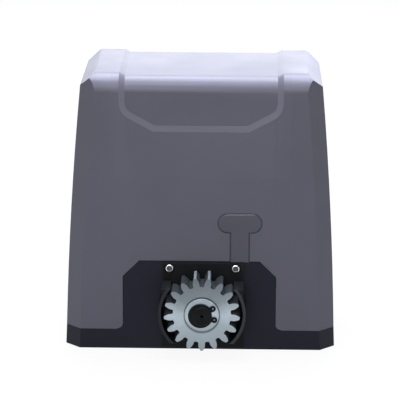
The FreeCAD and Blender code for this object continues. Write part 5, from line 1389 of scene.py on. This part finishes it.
@dataclass
class Studio:
    """Pale floor, white surround that gloss sees darker in front, and the camera."""

    ambient: float = 0.3
    front_gloss: float = 0.4
    floor_half: float = 3.0
    floor_drop: float = 0.3 * MM
    floor_tone: float = 0.35
    floor_glow: float = 1.07
    floor_white: float = 0.86
    sensor: float = 36.0
    lens: float = 193.5
    near: float = 0.1
    eye: Point = (0.0372, -2.1524, 0.7218)
    pitch: float = math.radians(15.2)
    yaw: float = math.radians(1.04)
    roll: float = math.radians(0.30)

    def surround(self) -> None:
        """Lights the scene evenly, and shows white behind it."""
        world = bpy.data.worlds.new("surround")
        bpy.context.scene.world = world
        world.use_nodes = True
        wiring = Wiring(world.node_tree)
        toward = wiring.axes(wiring.add("ShaderNodeTexCoord").outputs["Generated"])
        front = wiring.math("MAXIMUM", wiring.product(toward["Y"], -1.0), 0.0)
        gloss = wiring.math("MULTIPLY_ADD", wiring.product(front, front), self.front_gloss - 1, 1.0)
        rays = wiring.add("ShaderNodeLightPath").outputs
        seen = wiring.math("MAXIMUM", rays["Is Camera Ray"], rays["Is Transmission Ray"])
        level = wiring.math("MAXIMUM", wiring.product(rays["Is Glossy Ray"], gloss), seen)
        unseen = wiring.math("SUBTRACT", 1.0, wiring.math("MAXIMUM", rays["Is Glossy Ray"], seen))
        wiring.feed(world.node_tree.nodes["Background"], Color=(1, 1, 1, 1),
                    Strength=wiring.math("MULTIPLY_ADD", unseen, self.ambient, level))

    def floor(self) -> None:
        """Lays the floor: white to the eye, with the object's soft shadow, and open from below."""
        half = self.floor_half
        signs = ((-1, -1), (1, -1), (1, 1), (-1, 1))
        corners = [(half * x, half * y, -self.floor_drop) for x, y in signs]
        plane = link("floor", mesh_from("floor", corners, [(0, 1, 2, 3)]))
        material = bpy.data.materials.new("floor")
        material.use_nodes = True
        nodes = material.node_tree.nodes
        wiring = Wiring(material.node_tree)
        shaded = wiring.feed(nodes["Principled BSDF"], Base_Color=(*[self.floor_tone] * 3, 1), Roughness=1.0,
                             Specular_IOR_Level=0.0)
        glow = wiring.feed(wiring.add("ShaderNodeEmission"), Strength=self.floor_glow)
        rays = wiring.add("ShaderNodeLightPath").outputs
        seen = wiring.math("MAXIMUM", wiring.math("MAXIMUM", rays["Is Camera Ray"], rays["Is Glossy Ray"]),
                           rays["Is Transmission Ray"])
        below = wiring.add("ShaderNodeNewGeometry").outputs["Backfacing"]
        clear = wiring.add("ShaderNodeBsdfTransparent").outputs["BSDF"]
        top = self.mixed(wiring, wiring.product(seen, self.floor_white), shaded.outputs["BSDF"],
                         glow.outputs["Emission"])
        wiring.feed(nodes["Material Output"], Surface=self.mixed(wiring, below, top, clear))
        plane.data.materials.append(material)

    def mixed(self, wiring: Wiring, share: Socket, first: Socket, second: Socket) -> Socket:
        """Mixes two shaders by a share of the second.

        Args:
            wiring: The material's wiring.
            share: The share of the second.
            first: The first shader.
            second: The second shader.

        Returns:
            The mixed shader's socket.
        """
        made = wiring.add("ShaderNodeMixShader")
        for socket, source in zip(made.inputs, (share, first, second)):
            wiring.join(socket, source)
        return made.outputs["Shader"]

    def camera(self) -> None:
        """Sets the camera at the viewing angle."""
        data = bpy.data.cameras.new("camera")
        data.sensor_width = self.sensor
        data.lens = self.lens
        data.clip_start = self.near
        made = link("camera", data)
        level = Vector((math.cos(self.yaw), math.sin(self.yaw), 0))
        ahead = Vector((-math.sin(self.yaw), math.cos(self.yaw), 0))
        forward = ahead * math.cos(self.pitch) - Vector(UPRIGHT) * math.sin(self.pitch)
        above = level.cross(forward)
        right = level * math.cos(self.roll) + above * math.sin(self.roll)
        up = above * math.cos(self.roll) - level * math.sin(self.roll)
        turn = Matrix((right, up, -forward)).transposed().to_4x4()
        made.matrix_world = Matrix.Translation(self.eye) @ turn
        bpy.context.scene.camera = made

    def build(self) -> None:
        """Sets the stage."""
        self.surround()
        self.floor()
        for lamp in LAMPS:
            lamp.hang()
        self.camera()
        bpy.context.scene.view_settings.view_transform = "Standard"


def main() -> None:
    """Builds the sub-assemblies and the stage in order."""
    logging.basicConfig(level=logging.INFO, format="%(message)s")
    shop = Workshop()
    shop.paint_nodes()
    for part in (Enclosure(shop), PinionDrive(shop), Fasteners(shop), ReleaseGear(shop), Clutch(shop)):
        part.build()
        LOG.info("built %s", type(part).__name__)
    Studio().build()


if __name__ == "__main__":
    main()
